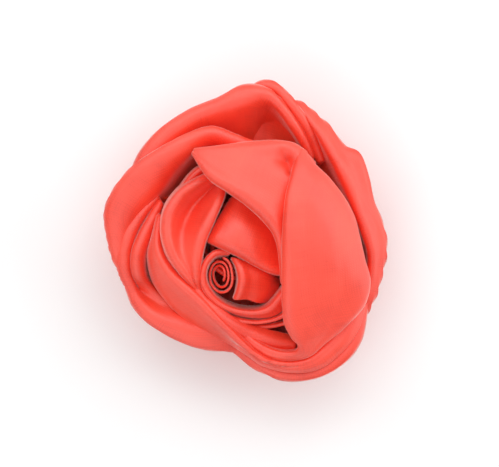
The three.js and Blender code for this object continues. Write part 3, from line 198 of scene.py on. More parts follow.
PETALS["wrap_inner"] = dict(thick=0.7, rows=[
    [(-9.9, -6.6, 5.5), (-10.9, -10, 5.5), (-10.3, -13.6, 5.5), (-8.3, -16.8, 5.5), (-5.7, -19.1, 5.5),
     (-2.8, -20.4, 5.5), (0.6, -21.3, 5.5), (4.4, -21.8, 5.5), (8.2, -20.9, 5.5), (11, -18.8, 5.5)],
    [(-10.2, -6.6, 16.2), (-11.2, -10, 16.2), (-10.6, -13.9, 15.6), (-8.5, -17.2, 14.8),
     (-5.8, -19.8, 14), (-2.8, -21.3, 13.4), (0.6, -22.1, 13.2), (4.4, -22.3, 13.2), (8.3, -21.4, 13.4),
     (11.1, -19.4, 13.8)],
    [(-10.9, -6.3, 17.4), (-12, -9.9, 17.4), (-11.4, -14.4, 17), (-9.2, -18.1, 16.2), (-6.3, -20.8, 15.4),
     (-3, -22.4, 14.8), (0.6, -23, 14.4), (4.6, -23, 14.4), (8.9, -22, 14.6), (11.9, -20, 15)],
])
PETALS["wrap_middle"] = dict(thick=0.7, rows=[
    [(-11.6, -12, 4.5), (-10.5, -15.5, 4.5), (-8.2, -18.7, 4.5), (-5.1, -21.4, 4.5), (-1.6, -23.2, 4.5),
     (2.4, -23.8, 4.5), (6.4, -23.6, 4.5), (10.6, -22.6, 4.5)],
    [(-11.9, -12.3, 15), (-10.8, -16, 14.6), (-8.5, -19.3, 13.8), (-5.4, -21.8, 12.6),
     (-1.7, -23.3, 11.8), (2.4, -23.6, 11.4), (6.5, -23.4, 11.4), (10.7, -22.5, 11.6)],
    [(-12.6, -12.9, 16), (-11.5, -16.7, 15.8), (-9, -20.2, 15), (-5.8, -22.8, 13.8), (-1.9, -24.2, 12.8),
     (2.5, -24.4, 12.3), (6.9, -24.2, 12.3), (11.3, -23.2, 12.6)],
])
PETALS["wrap_outer"] = dict(thick=1.2, rows=[
    [(-11.8, -13, 8), (-9.4, -17, 8), (-6.4, -20.2, 8), (-3.2, -23, 7), (0.4, -25, 6), (4.4, -26.6, 6),
     (8.4, -27.6, 6), (12.6, -28.4, 6)],
    [(-12.6, -14.2, 15.8), (-10, -18.2, 15.6), (-7, -21.6, 15), (-3.6, -24.5, 13.8), (0.1, -26.8, 12.6),
     (4.2, -28.3, 11.8), (8.3, -29.2, 11.2), (12.8, -29.8, 10.6)],
    [(-12.2, -13.6, 16.8), (-9.7, -17.4, 16.8), (-6.5, -20.6, 16.2), (-3, -23.3, 15.2), (0.8, -25.2, 14),
     (4.8, -26.7, 13.2), (8.8, -27.6, 12.4), (13.2, -28.3, 11.6)],
    [(-11.6, -12.8, 16), (-8.8, -16.4, 16), (-5.5, -19.2, 15.4), (-1.9, -21.7, 14.2), (2.2, -23.4, 12.6),
     (6.2, -24.7, 11.4), (9.8, -25.6, 10.4), (13.6, -26.6, 9.6)],
])

PETALS["petal_tuck"] = dict(thick=0.9, rows=[
    [(-6.5, 16.8, 8), (-10.8, 16.4, 8), (-13.6, 14.5, 8), (-15.8, 11.7, 8), (-18, 8.3, 8)],
    [(-6.5, 16.2, 15), (-10.5, 15.5, 15.4), (-12.9, 13.8, 15.2), (-14.9, 11.3, 14.4), (-16.7, 8.4, 13.2)],
    [(-6.3, 14.5, 13.8), (-10, 14, 14), (-12.2, 12.5, 13.8), (-14.1, 10.4, 13), (-15.8, 7.8, 12)],
])

# the long petal that sweeps from the left, under the bud, to the lower right:
# outer edge, facet, valley, crest, drop
PETALS["petal_sweep"] = dict(thick=1.2, rows=[
    [(-21.4, 4.6, 9), (-22.7, -0.8, 9), (-24, -6, 9.2), (-22.9, -11.8, 9.2), (-20.4, -16, 9.6),
     (-17.2, -19.8, 10.2), (-13, -23, 10.4), (-8.2, -25.8, 10.4), (-3.6, -28, 10.4), (1, -31, 10.8),
     (5, -33.7, 11.6), (11.6, -35.2, 12.2), (18.6, -34.4, 12.2), (24.4, -30.2, 12), (28.4, -25, 11.8),
     (30.4, -18.6, 11)],
    [(-21.3, 4.5, 11.4), (-22.4, -0.8, 12.4), (-23.3, -5.9, 13), (-21.9, -11.5, 13), (-19.3, -15.5, 12.8),
     (-16.1, -19, 12.6), (-12.1, -22, 12.4), (-7.6, -24.8, 12.2), (-3.2, -27.2, 12), (1.2, -30.2, 12.2),
     (5.2, -32.8, 13), (11.8, -34.3, 13.6), (18.2, -33.2, 13.6), (23.6, -29, 13.4), (27.2, -24, 13),
     (29.2, -18, 12)],
    [(-21.1, 4.3, 12.6), (-22, -0.9, 14.4), (-22.3, -5.8, 15.2), (-20.3, -11, 15.6), (-17, -15.1, 15.4),
     (-13.6, -18.3, 14.8), (-10, -21.5, 14.2), (-6.2, -24.6, 13.6), (-2.4, -27.2, 13.2),
     (1.8, -29.8, 13.2), (5.8, -32.2, 13.6), (12, -33.6, 14), (17.8, -32.3, 14), (22.8, -28, 13.6),
     (26.2, -23.2, 13.2), (28.2, -17.4, 12)],
    [(-20.7, 4.1, 13), (-21.4, -1, 15.4), (-20.8, -5.5, 16.8), (-18, -10.3, 17.8), (-14.2, -14, 18),
     (-10.2, -17.8, 17.6), (-6.6, -21.6, 16.8), (-3.2, -25, 16), (0, -28.2, 15.4), (3.2, -31, 15),
     (7.2, -32.8, 14.6), (12.4, -33, 14.2), (17.2, -31.2, 13.8), (21.6, -26.6, 13.2), (25, -22, 12.6),
     (27, -16.6, 11.4)],
    [(-20, 4, 9), (-20.2, -1.2, 10), (-19, -5, 10.4), (-16.2, -9.2, 10.6), (-12.4, -12.8, 10.6),
     (-8.4, -16.6, 10), (-4.8, -20.4, 9.4), (-1.6, -23.8, 8.8), (1.6, -26.8, 8.6), (4.6, -29.4, 9),
     (8.2, -31, 9.4), (12.6, -31.2, 9.8), (16.4, -29, 9.6), (20, -24.2, 9.2), (23, -20, 8.8),
     (25, -15.4, 8.4)],
])

left_rim = [(3, 21.6, 9.6), (-2.4, 23.7, 10.6), (-8, 25.5, 11.6), (-14.2, 23.6, 12), (-20.6, 20.3, 11.6),
    (-27.4, 15.8, 10.6), (-32, 10.4, 9.6), (-34.4, 5, 9), (-33.7, -1.6, 8.6), (-32.1, -7.2, 8.4),
    (-28.9, -13, 8.2)]
PETALS["petal_left"] = dict(thick=1.3, rows=rolled(
    left_rim,
    [(3, 20.6, 11.2), (-2.5, 22.3, 13), (-8.2, 24.1, 14.4), (-13.9, 21.9, 15), (-19.9, 18.3, 15),
     (-25.8, 13.9, 14.4), (-29.8, 9.1, 13.6), (-32, 4.1, 12.8), (-31.9, -1.8, 11.8), (-31, -7.2, 10.8),
     (-28.3, -12.6, 9.8)],
    [(3, 19.4, 10.6), (-2.6, 21, 12), (-8.5, 22.2, 12.8), (-13.3, 19.9, 13), (-17.7, 15.9, 12.8),
     (-21.8, 11, 12.6), (-26.2, 6.8, 12.4), (-29, 2.4, 12), (-30, -2, 11.4), (-29.8, -7.3, 10.4),
     (-27.6, -12.2, 9.4)],
    [(3, 18.4, 8), (-2.8, 19.7, 8.8), (-9, 20.2, 8.6), (-12.9, 18.5, 8), (-16.4, 14.5, 7.4),
     (-20, 9.8, 7.4), (-24, 5.6, 8), (-26.8, 1.6, 8.6), (-28.2, -2.4, 8.8), (-28.3, -7.4, 8.8),
     (-26.4, -11.6, 8.4)],
    [(3, 17, 4), (-3, 18, 3.4), (-9.2, 17.6, 2.6), (-12.2, 15.4, 2.4), (-15.2, 11.2, 2.4),
     (-18.8, 7.2, 2.8), (-22, 3.6, 3.8), (-24.6, 0, 4.8), (-26.2, -3, 5.6), (-26.4, -7.4, 6),
     (-24.6, -11, 5.8)],
))

# pleated lower left petal: rim, crest, groove, crest, groove against the sweeping petal
lower_left_rim = [(-21, 9.6, 7), (-26.6, 6.2, 7.2), (-30.8, 0.8, 7.2), (-32, -5, 7.2), (-31, -9.8, 7.2),
    (-29.2, -13.8, 7.4), (-27.7, -18.0, 7.6), (-24.6, -21.9, 7.6), (-19.6, -25.4, 7.6),
    (-13.6, -28.1, 7.6), (-7.5, -29.4, 7.6), (-3.0, -29.7, 7.4), (1.4, -30.2, 6.4)]
PETALS["petal_lower_left"] = dict(thick=1.2, rows=rolled(
    lower_left_rim,
    [(-21.3, 9.2, 9.4), (-25.6, 5.2, 11), (-29, -0.1, 11.8), (-30.4, -5.5, 11.6), (-29.8, -10.2, 11),
     (-28, -14.2, 10.4), (-26.3, -17.7, 10.4), (-23.4, -21, 10.6), (-18.8, -24.2, 10.8),
     (-13.2, -26.7, 10.8), (-7.6, -27.9, 10.4), (-3.4, -28.2, 9.6), (1.2, -29, 8)],
    [(-21.2, 8.9, 9.8), (-24.9, 4.5, 11.4), (-27.7, -0.5, 12), (-29.2, -5.8, 11.8), (-28.9, -10.4, 10.6),
     (-27.2, -14.4, 9.4), (-25.2, -17.3, 9.4), (-22.2, -20.1, 10), (-17.8, -23, 11), (-12.6, -25.4, 11.2),
     (-7.2, -26.6, 10.8), (-3.2, -27.2, 10), (1.4, -28, 8.4)],
    [(-21.1, 8.4, 8), (-24.2, 3.9, 7.8), (-26.8, -0.9, 7.6), (-28.4, -6, 7.8), (-28.2, -10.6, 8.2),
     (-26.5, -14.5, 8.2), (-24.2, -16.9, 8.2), (-21, -19.3, 9), (-16.8, -22, 10.6), (-11.8, -24.4, 11),
     (-6.8, -25.6, 10.8), (-3, -26.2, 10), (1.6, -27, 8.4)],
    [(-20.9, 7.9, 9.8), (-23.4, 3.4, 11.8), (-25.9, -1.3, 12.8), (-27.5, -6.3, 13), (-27.2, -10.9, 11.6),
     (-25.2, -14.2, 9), (-22.8, -16.5, 8), (-19.8, -18.7, 8.6), (-15.8, -21.2, 9.8), (-11, -23.4, 10.4),
     (-6.4, -24.6, 10.2), (-2.8, -25.2, 9.6), (1.8, -26, 8)],
    [(-20.6, 7.4, 9.8), (-22.4, 3, 11.6), (-24.4, -1.8, 12.6), (-26, -6.7, 12.8), (-25.5, -11.3, 11.4),
     (-23.4, -14.2, 9), (-21.2, -16.2, 8), (-18.6, -18, 8.4), (-14.6, -20.2, 9.2), (-10.2, -22.4, 9.6),
     (-6, -23.6, 9.4), (-2.6, -24.4, 9), (2, -25, 7.6)],
    [(-20.1, 6.8, 7), (-21.3, 2.4, 7.2), (-23, -2.2, 7.4), (-24.6, -7, 7.4), (-24, -11.6, 7.2),
     (-21.8, -14.2, 6.8), (-19.4, -15.6, 6.8), (-16.8, -17, 7), (-13.2, -19, 7.4), (-9.2, -21.4, 7.6),
     (-5.4, -22.6, 7.6), (-2.2, -23.4, 7.4), (2.2, -24, 6.6)],
))

bottom_rim = [(-6, -28.2, 6.4), (-2.4, -29.9, 7.2), (2.2, -33.5, 8.2), (8, -36.3, 9), (14, -37, 9.2),
    (20, -35.6, 9.2), (25.6, -31.8, 9.2), (28.8, -27.1, 9), (30.2, -21.4, 8.6), (30.6, -16, 8)]
PETALS["petal_bottom"] = dict(thick=1.3, rows=rolled(
    bottom_rim,
    [(-5.6, -26.8, 7.6), (-1.8, -28.4, 8.8), (3, -31.9, 10.2), (8.4, -34.8, 11), (14, -35.5, 11.2),
     (19.4, -34.1, 11.2), (24.4, -30.6, 11.2), (27.4, -26.2, 11), (28.8, -20.9, 10.4),
     (29.2, -15.8, 9.4)],
    [(-5, -24.8, 6.4), (-1, -26.4, 7.4), (4, -29.8, 8.4), (8.8, -32.4, 8.8), (13.8, -33, 9),
     (18.4, -31.6, 9), (22.6, -28.6, 9), (25.2, -24.6, 8.8), (26.6, -20, 8.4), (27.2, -15.4, 7.8)],
    [(-4, -22, 4), (0, -23.6, 4), (5, -26.4, 4), (9, -28.8, 4), (13.2, -29.4, 4), (17, -28, 4),
     (20.4, -25.4, 4), (22.6, -22, 4), (24, -18.2, 4), (24.8, -14.6, 4)],
))

upper_right_rim = [(1.2, 35.6, 8.4), (4.6, 37.1, 9), (8.3, 36.3, 9.6), (11, 33.6, 10), (13.4, 30.8, 10.2),
    (15.4, 27.9, 10), (17.2, 24.7, 9.4), (18.6, 21.2, 8.6), (20, 17.2, 7.6)]
PETALS["petal_upper_right"] = dict(thick=1.1, rows=rolled(
    upper_right_rim,
    [(1.6, 35.0, 10), (4.8, 36.2, 11.4), (7.8, 35.5, 12), (10.2, 33.2, 12.4), (12.4, 30.4, 12.4),
     (14.4, 27.5, 12), (16.2, 24.3, 11.2), (17.6, 20.9, 10), (19, 17, 8.8)],
    [(1.8, 33.8, 9), (4.6, 35, 9.8), (7, 34.2, 9.8), (9.2, 32, 9.6), (11.2, 29.4, 9.4), (13.2, 26.6, 9),
     (15, 23.6, 8.2), (16.4, 20.4, 7.2), (17.8, 16.8, 6)],
    [(2, 30, 3.4), (4.2, 31, 3.4), (6.2, 30, 3.4), (8.2, 28, 3.4), (10, 25.6, 3.4), (11.6, 23, 3.2),
     (13.2, 20.4, 3), (14.6, 17.8, 3), (15.8, 15.4, 3)],
))

right_rim = [(11.3, 32.8, 7.6), (14.8, 31.4, 8), (18.3, 28.4, 8.2), (21.6, 25.4, 8.4), (25, 20.8, 8.8),
    (28.7, 19.2, 9), (30.7, 13, 9), (32.1, 7, 8.8), (34.4, 2, 8.6), (35.3, -4.5, 8.4), (34.1, -10.8, 8.2),
    (32.6, -16.2, 8), (30.2, -20.9, 7.6)]
PETALS["petal_right"] = dict(thick=1.2, rows=rolled(
    right_rim,
    [(11.8, 32.0, 9.2), (14.8, 30.4, 10.2), (17.6, 27.8, 10.8), (20.8, 24.4, 11.2), (24, 19.8, 11.4),
     (26.8, 16.6, 11.8), (28.8, 11.6, 11.8), (30.4, 6, 11.6), (32.4, 0.8, 11.4), (33.6, -5, 11),
     (32.8, -10.9, 10.6), (31.4, -16, 10), (29.2, -20.5, 9)],
    [(12.6, 31.6, 9.8), (14.8, 29.4, 11), (17, 26.9, 12), (19.4, 23.5, 12.8), (21.8, 19.2, 13.2),
     (24.2, 14.6, 13.6), (26.3, 10, 13.6), (28.3, 4.6, 13.4), (30.2, -0.8, 13), (31.6, -5.8, 12.4),
     (31.3, -11, 11.6), (30.3, -15.8, 10.8), (28.3, -20, 9.6)],
    [(12.7, 30.6, 7), (14.3, 28.4, 7.2), (16.3, 25.9, 7.4), (18.4, 22.5, 7.6), (20.4, 18.2, 7.8),
     (22.5, 13.7, 8), (24.7, 9.2, 8), (27.1, 4.2, 7.8), (29.1, -0.9, 6.6), (30.5, -5.9, 6.6),
     (30.4, -10.9, 6.6), (29.5, -15.6, 6.6), (27.8, -19.6, 6.6)],
    [(12, 24.6, 3), (13.4, 22.4, 3), (15, 19.8, 3), (16.6, 16.8, 3), (18.2, 13.4, 3), (19.8, 9.8, 3),
     (21.4, 6, 3), (23, 1.8, 3), (24.6, -2.6, 3.2), (25.4, -7, 3.4), (25.4, -11.6, 3.6),
     (24.6, -15.8, 3.8), (23, -19, 4)],
))

top_rim = [(-28.2, 13.6, 7.4), (-25.8, 19.4, 7.8), (-20.3, 25.6, 8.2), (-13.4, 30, 8.4),
    (-6.6, 32.7, 8.8), (-1.4, 35.6, 9.2), (2.6, 36, 9.6), (6, 34.9, 10), (8.2, 33.2, 10.2),
    (10.2, 30.9, 10), (12.2, 28, 9.8), (14.2, 25, 9.2), (16.2, 21.6, 8.4), (17.6, 18, 7.6)]
PETALS["petal_top"] = dict(thick=1.2, rows=rolled(
    top_rim,
    [(-26, 12.8, 11), (-23.8, 17.9, 11.6), (-18.9, 23.6, 12.2), (-12.7, 28, 12.8), (-6.4, 30.9, 13.4),
     (-1.4, 33.6, 13.8), (2.2, 34.2, 13.8), (5.3, 33.8, 13.4), (7.4, 32.3, 13), (9.4, 30, 12.8),
     (11.4, 27.2, 12.2), (13.4, 24.3, 11.4), (15.4, 20.9, 10.2), (16.8, 17.7, 9)],
    [(-23, 11.4, 9.6), (-21.2, 15.9, 9.8), (-17.2, 21, 9.8), (-12, 25.4, 10.2), (-6.2, 28.4, 11.8),
     (-1.8, 30.6, 13.2), (1.2, 31.2, 12.8), (3.8, 31.2, 10.8), (6.2, 30.4, 8.4), (8.6, 28.4, 7),
     (10.6, 25.8, 6.2), (12.5, 23, 5.6), (14.2, 20, 5.2), (15.6, 17, 5)],
    [(-20.6, 10, 6), (-18.8, 14, 6), (-15.4, 18.8, 5.6), (-10.8, 22.8, 5.6), (-5.4, 25.4, 7.4),
     (-1.6, 27.4, 9), (1, 27.6, 7.8), (3.2, 27.2, 5.2), (5, 26.2, 3.2), (7, 24, 2.4), (9, 21.4, 2),
     (10.8, 18.8, 2), (12.4, 16.4, 2), (13.8, 14.2, 2)],
    [(-18.5, 8.6, 3), (-16.8, 12.4, 3), (-13.6, 17, 3), (-9.6, 20.4, 3), (-5, 22.4, 3.2),
     (-1.8, 22.6, 3.4), (0.6, 22.4, 2.8), (2.2, 22, 2), (3.6, 21, 1.6), (5.2, 19.6, 1.6), (6.8, 18, 1.6),
     (8.4, 16, 1.6), (10, 14, 1.6), (11.4, 12.4, 1.6)],
))


# ---- cloth: satin drawn from rail to rail, with a soft rounded fold at both edges ----

def spline(points, t):
    """Catmull-Rom through points (n, ...) at parameters t in 0..n-1."""
    p = np.asarray(points, float)
    q = np.concatenate([[2 * p[0] - p[1]], p, [2 * p[-1] - p[-2]]])
    k = np.clip(np.floor(t).astype(int), 0, len(p) - 2)
    f = (t - k).reshape((-1,) + (1,) * (p.ndim - 1))
    a, b, c, d = q[k], q[k + 1], q[k + 2], q[k + 3]
    return 0.5 * (2 * b + (c - a) * f + (2 * a - 5 * b + 4 * c - d) * f**2 + (3 * b - a - 3 * c + d) * f**3)


def lengths(line):
    return np.r_[0, np.cumsum(np.linalg.norm(np.diff(line, axis=0), axis=1))]


def middle_surface(rails, along, fine=160):
    rows = np.swapaxes(np.asarray(rails, float), 0, 1)
    places = np.linspace(0, len(rows) - 1, 400)
    s = lengths(spline(rows, places).mean(axis=1))
    t = np.interp(np.linspace(0, s[-1], along), s, places)
    columns = spline(rows, t)
    across = spline(np.swapaxes(columns, 0, 1), np.linspace(0, columns.shape[1] - 1, fine))
    return np.swapaxes(across, 0, 1)


def spaced(surface, thick, across):
    """Even stations across each column, and closer ones round its folded edges.

    Gives the points, half the thickness at each, and how far across the cloth each one is.
    """
    radius = thick / 2
    turn = np.linspace(0, np.pi / 2, EDGE_STEPS + 1)[:-1]
    inset, rise = radius * (1 - np.cos(turn)), radius * np.sin(turn)
    size = across + 2 * EDGE_STEPS
    points = np.zeros((len(surface), size, 3))
    half = np.zeros((len(surface), size))
    arc = np.zeros((len(surface), size))
    for i, column in enumerate(surface):
        s = lengths(column)
        k = min(1.0, s[-1] / (2.2 * radius))
        at = np.r_[inset * k, np.linspace(radius * k, s[-1] - radius * k, across), (s[-1] - inset * k)[::-1]]
        half[i] = np.r_[rise * k, np.full(across, radius * k), (rise * k)[::-1]]
        points[i] = np.stack([np.interp(at, s, column[:, c]) for c in range(3)], axis=1)
        arc[i] = at
    return points, half, arc


def normals(points):
    n = np.cross(np.gradient(points, axis=0), np.gradient(points, axis=1))
    return n / np.maximum(np.linalg.norm(n, axis=2, keepdims=True), 1e-9)


def rounded_ends(points, half, thick):
    s = lengths(points[:, points.shape[1] // 2])
    near = np.minimum(s, s[-1] - s) / (thick / 2)
    k = np.where(near < 1, np.sqrt(np.clip(1 - (1 - near) ** 2, 0, 1)), 1.0)
    return half * np.maximum(k, 0.2)[:, None]


def field(points, scale, seed):
    """Smooth noise over a grid of points, about -1 to 1."""
    out = np.zeros(points.shape[:2])
    for i in range(points.shape[0]):
        for j in range(points.shape[1]):
            p = Vector(points[i, j])
            out[i, j] = noise.noise(p / scale + Vector((seed * 7.3, seed * 3.1, seed)))
    return out


def along_across(points, along_mm, across_mm, seed):
    """Noise drawn out along the cloth: long soft drag lines."""
    u = lengths(points[:, points.shape[1] // 2])
    v = lengths(points[points.shape[0] // 2])
    out = np.zeros(points.shape[:2])
    for i in range(len(u)):
        for j in range(len(v)):
            out[i, j] = noise.noise(Vector((u[i] / along_mm + seed * 5.7, v[j] / across_mm, seed * 1.9)))
    return out


def gathers(points, arc, seed):
    """Radial folds that start at the root, where the cloth is drawn together, and die out towards the rim."""
    u = lengths(points[:, points.shape[1] // 3])
    swing = np.array([noise.noise(Vector((a / 9, seed, 4))) for a in u])
    return np.cos(2 * np.pi * (u / 3.6 + swing))[:, None] * np.exp(-(arc / 11) ** 2)


def cloth_mesh(name, rails, thick, along=100, across=40, seed=1, dents=(), pleats=0.0):
    """The cloth as one closed mesh with UVs in mm, and its flat width and length in metres."""
    surface = middle_surface(rails, along)
    for x, y, radius, depth in dents:
        away = (surface[..., 0] - x) ** 2 + (surface[..., 1] - y) ** 2
        surface[..., 2] -= depth * np.exp(-away / radius**2)
    points, half, arc = spaced(surface, thick, across)
    half = rounded_ends(points, half, thick)
    n = normals(points)
    fade = np.sin(np.linspace(0, np.pi, points.shape[0])) ** 0.4
    lift = DRAG * along_across(points, 14, 2.6, seed) + PUFF * field(points, 7, seed + 20)
    lift += CRUMPLE * field(points, 2.8, seed + 40)
    lift += pleats * gathers(points, arc, seed)
    points = points + n * (lift * fade[:, None])[..., None]
    n = normals(points)
    top, bottom = points + n * half[..., None], points - n * half[..., None]
    rows, size = points.shape[:2]
    ring = 2 * size - 2
    verts = np.concatenate([top, bottom[:, 1:-1][:, ::-1]], axis=1).reshape(-1, 3)
    u = np.repeat(lengths(points[:, size // 2])[:, None], ring, axis=1)
    v = np.concatenate([arc, arc[:, 1:-1][:, ::-1]], axis=1)
    uv = np.stack([u, v], axis=2).reshape(-1, 2)
    faces = []
    for i in range(rows - 1):
        for k in range(ring):
            a, b = i * ring + k, i * ring + (k + 1) % ring
            faces.append((a, b, b + ring, a + ring))
    for base, flip in ((0, False), ((rows - 1) * ring, True)):
        for k in range(size - 1):
            quad = list(dict.fromkeys([k, k + 1, (ring - k - 1) % ring, (ring - k) % ring]))
            if len(quad) > 2:
                quad = [base + q for q in quad]
                faces.append(tuple(quad if flip else quad[::-1]))
    mesh = bpy.data.meshes.new(name)
    mesh.from_pydata([tuple(p) for p in (verts + (0, 0, FELT_TOP) + np.array(CLIP_SHIFT)) * MM], [], faces)
    layer = mesh.uv_layers.new(name="UVMap")
    loops = np.zeros(len(mesh.loops), int)
    mesh.loops.foreach_get("vertex_index", loops)
    layer.data.foreach_set("uv", uv[loops].astype(np.float32).ravel())
    mesh.polygons.foreach_set("use_smooth", [True] * len(mesh.polygons))
    mesh.update()
    width = float(np.mean([lengths(column)[-1] for column in points])) * MM
    length = float(np.mean([lengths(points[:, j])[-1] for j in range(size)])) * MM
    flat = (max(width, SMALLEST_CUT), length)
    return mesh, flat


def add(name, mesh, material):
    obj = bpy.data.objects.new(name, mesh)
    mesh.materials.append(material)
    bpy.context.scene.collection.objects.link(obj)
    return obj


# ---- materials ----

def new_material(name):
    material = bpy.data.materials.new(name)
    material.use_nodes = True
    tree = material.node_tree
    return material, tree, tree.nodes["Principled BSDF"]


def link(tree, a, b):
    tree.links.new(a, b)


def math_node(tree, operation, a, b=None):
    node = tree.nodes.new("ShaderNodeMath")
    node.operation = operation
    for socket, value in zip(node.inputs, (a, b)):
        if value is None:
            continue
        if isinstance(value, (int, float)):
            socket.default_value = value
        else:
            link(tree, value, socket)
    return node.outputs[0]


def mixed(tree, a, share_a, b, share_b):
    """a and b added up by their shares."""
    first = math_node(tree, "MULTIPLY", a, share_a)
    second = math_node(tree, "MULTIPLY", b, share_b)
    return math_node(tree, "ADD", first, second)


def noise_node(tree, vector, scale, detail=3):
    node = tree.nodes.new("ShaderNodeTexNoise")
    node.inputs["Scale"].default_value = scale
    node.inputs["Detail"].default_value = detail
    link(tree, vector, node.inputs["Vector"])
    return node.outputs["Fac"]


def mapping(tree, vector, scale, turn=0):
    node = tree.nodes.new("ShaderNodeMapping")
    node.inputs["Scale"].default_value = scale
    node.inputs["Rotation"].default_value = (0, 0, turn)
    link(tree, vector, node.inputs["Vector"])
    return node.outputs["Vector"]


def ramp(tree, value, stops):
    node = tree.nodes.new("ShaderNodeValToRGB")
    first, last = node.color_ramp.elements
    first.position, first.color = stops[0]
    last.position, last.color = stops[-1]
    for position, colour in stops[1:-1]:
        node.color_ramp.elements.new(position).color = colour
    link(tree, value, node.inputs["Fac"])
    return node.outputs["Color"]


def bump(tree, height, distance, strength, after=None):
    node = tree.nodes.new("ShaderNodeBump")
    node.inputs["Distance"].default_value = distance
    node.inputs["Strength"].default_value = strength
    link(tree, height, node.inputs["Height"])
    if after is not None:
        link(tree, after, node.inputs["Normal"])
    return node.outputs["Normal"]


def weave_height(tree, uv, pitch):
    """Warp and weft threads that pass over and under each other; uv is in mm along the cloth."""
    split = tree.nodes.new("ShaderNodeSeparateXYZ")
    link(tree, uv, split.inputs[0])
    u = math_node(tree, "MULTIPLY", split.outputs[0], math.pi / pitch)
    v = math_node(tree, "MULTIPLY", split.outputs[1], math.pi / pitch)
    across = math_node(tree, "ABSOLUTE", math_node(tree, "SINE", u))
    down = math_node(tree, "ABSOLUTE", math_node(tree, "SINE", v))
    over = math_node(tree, "MULTIPLY", math_node(tree, "SINE", u), math_node(tree, "SINE", v))
    threads = math_node(tree, "MAXIMUM", across, down)
    return math_node(tree, "ADD", threads, math_node(tree, "MULTIPLY", over, 0.35))


def satin_material():
    material, tree, shader = new_material("coral_satin")
    uv = tree.nodes.new("ShaderNodeTexCoord").outputs["UV"]
    place = tree.nodes.new("ShaderNodeNewGeometry").outputs["Position"]
    dye = noise_node(tree, mapping(tree, place, (1, 1, 1)), 90, 2)
    warp = noise_node(tree, mapping(tree, uv, (0.12, 3.2, 1)), 1.0, 4)
    weft = noise_node(tree, mapping(tree, uv, (3.2, 0.12, 1)), 1.0, 4)
    yarn = math_node(tree, "MULTIPLY", math_node(tree, "ADD", warp, weft), 0.5)
    tone_and_groove_shade = mixed(tree, dye, 0.45, yarn, 0.55)
    weave = weave_height(tree, mapping(tree, uv, (1, 1, 1), math.radians(40)), 0.46)
    # painted shade: the colour is darker in the grooves between the woven threads and lighter on their tops,
    # following the weave's height; dye and yarn add random tone on top
    grain = math_node(tree, "MULTIPLY", math_node(tree, "SUBTRACT", weave, 0.8), 0.10)
    tone_and_groove_shade = math_node(tree, "ADD", tone_and_groove_shade, grain)
    colour = ramp(tree, tone_and_groove_shade, [
        (0.36, (0.80, 0.035, 0.012, 1)),
        (0.50, (0.92, 0.049, 0.018, 1)),
        (0.64, (0.99, 0.064, 0.026, 1)),
    ])
    link(tree, colour, shader.inputs["Base Color"])
    rough = tree.nodes.new("ShaderNodeMapRange")
    link(tree, yarn, rough.inputs["Value"])
    rough.inputs["To Min"].default_value = 0.40
    rough.inputs["To Max"].default_value = 0.50
    link(tree, rough.outputs[0], shader.inputs["Roughness"])
    shader.inputs["Specular IOR Level"].default_value = 1.0
    shader.inputs["Sheen Weight"].default_value = 0.85
    shader.inputs["Sheen Roughness"].default_value = 0.3
    shader.inputs["Sheen Tint"].default_value = (1, 0.80, 0.74, 1)
    threads = bump(tree, weave, 0.00003, 0.75)
    slub = bump(tree, yarn, 0.00012, 0.40, threads)
    link(tree, slub, shader.inputs["Normal"])
    return material


satin = satin_material()


# ---- the rose ----

GATHERED = (
    "petal_left",
    "petal_lower_left",
    "petal_bottom",
    "petal_upper_right",
    "petal_right",
    "petal_top",
)


def make_rose():
    for k, (name, spec) in enumerate(PETALS.items()):
        dents, pleats = spec.get("dents", ()), PLEAT if name in GATHERED else 0.0
        mesh, flat = cloth_mesh(
            "satin_" + name, spec["rows"], spec["thick"], seed=k + 1, dents=dents, pleats=pleats
        )
        obj = add("satin_" + name, mesh, satin)
        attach(obj, STATIC)
        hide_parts(name)


def spiral_core():
    """The rolled inside of the strip, seen only as dark cloth at the bottom of the gaps."""
    turns, steps = 3.6, 44
    low, high = [], []
    for i in range(steps + 1):
        t = i / steps
        angle = 2 * math.pi * turns * t
        radius = 2.2 + 9.6 * t
        x, y = radius * math.cos(angle) - 1.5 * (1 - t), radius * math.sin(angle) - 5 * (1 - t)
        low.append((x * 0.9, y * 0.9, 0.6))
        high.append((x * 1.12, y * 1.12, 13.5 - 3.4 * t + 0.3 * math.sin(5 * angle)))
    mesh, flat = cloth_mesh("satin_rolled_core", [low, high], 1.3, along=220, across=14, seed=40)
    obj = add("satin_rolled_core", mesh, satin)
    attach(obj, STATIC)
    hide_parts("rolled_core")


make_rose()
spiral_core()


# ---- felt, ribbon, thread and metal ----

PIVOT_X, PIVOT_Z = -9.0, 4.9  # the jaw's pin, in mm
COIL_RADIUS, COIL_HALF, COIL_TURNS, WIRE = 1.5, 1.9, 3.5, 0.3
LEG_END, LEG_START = -16.5, -12.6  # where the spring's straight legs end and start
STITCH_RADIUS, STITCH_COUNT, STITCH_STEP, STITCH_SPAN = 17.3, 16, 8.7, 5.6  # mm, count, degrees, degrees
STITCH_CLEAR = 22  # degrees left free at the clip
RIB_PITCH = 0.62
STRAP_LINE = [
    (-10, 8.2), (-8, 8.2), (-6.3, 8.16), (-5.6, 7.65), (-4.9, 7.1), (-3, 7.0), (0, 6.98),
    (3, 7.0), (4.9, 7.1), (5.6, 7.65), (6.3, 8.16), (8, 8.2), (10, 8.2),
]
RIBBON_LINE = [(-3.9, 7.33), (0, 7.33), (3.9, 7.33)]


def shifted(points):
    """Points given in mm about the clip's own middle, in metres in the CAD's frame."""
    return [(Vector(p) + CLIP_SHIFT) * MM for p in points]


def mesh_from(name, verts, faces, uv=None):
    mesh = bpy.data.meshes.new(name)
    mesh.from_pydata([tuple(v) for v in verts], [], faces)
    if uv is not None:
        layer = mesh.uv_layers.new(name="UVMap")
        for loop in mesh.loops:
            layer.data[loop.index].uv = uv[loop.vertex_index]
    mesh.polygons.foreach_set("use_smooth", [True] * len(mesh.polygons))
    mesh.update()
    return mesh


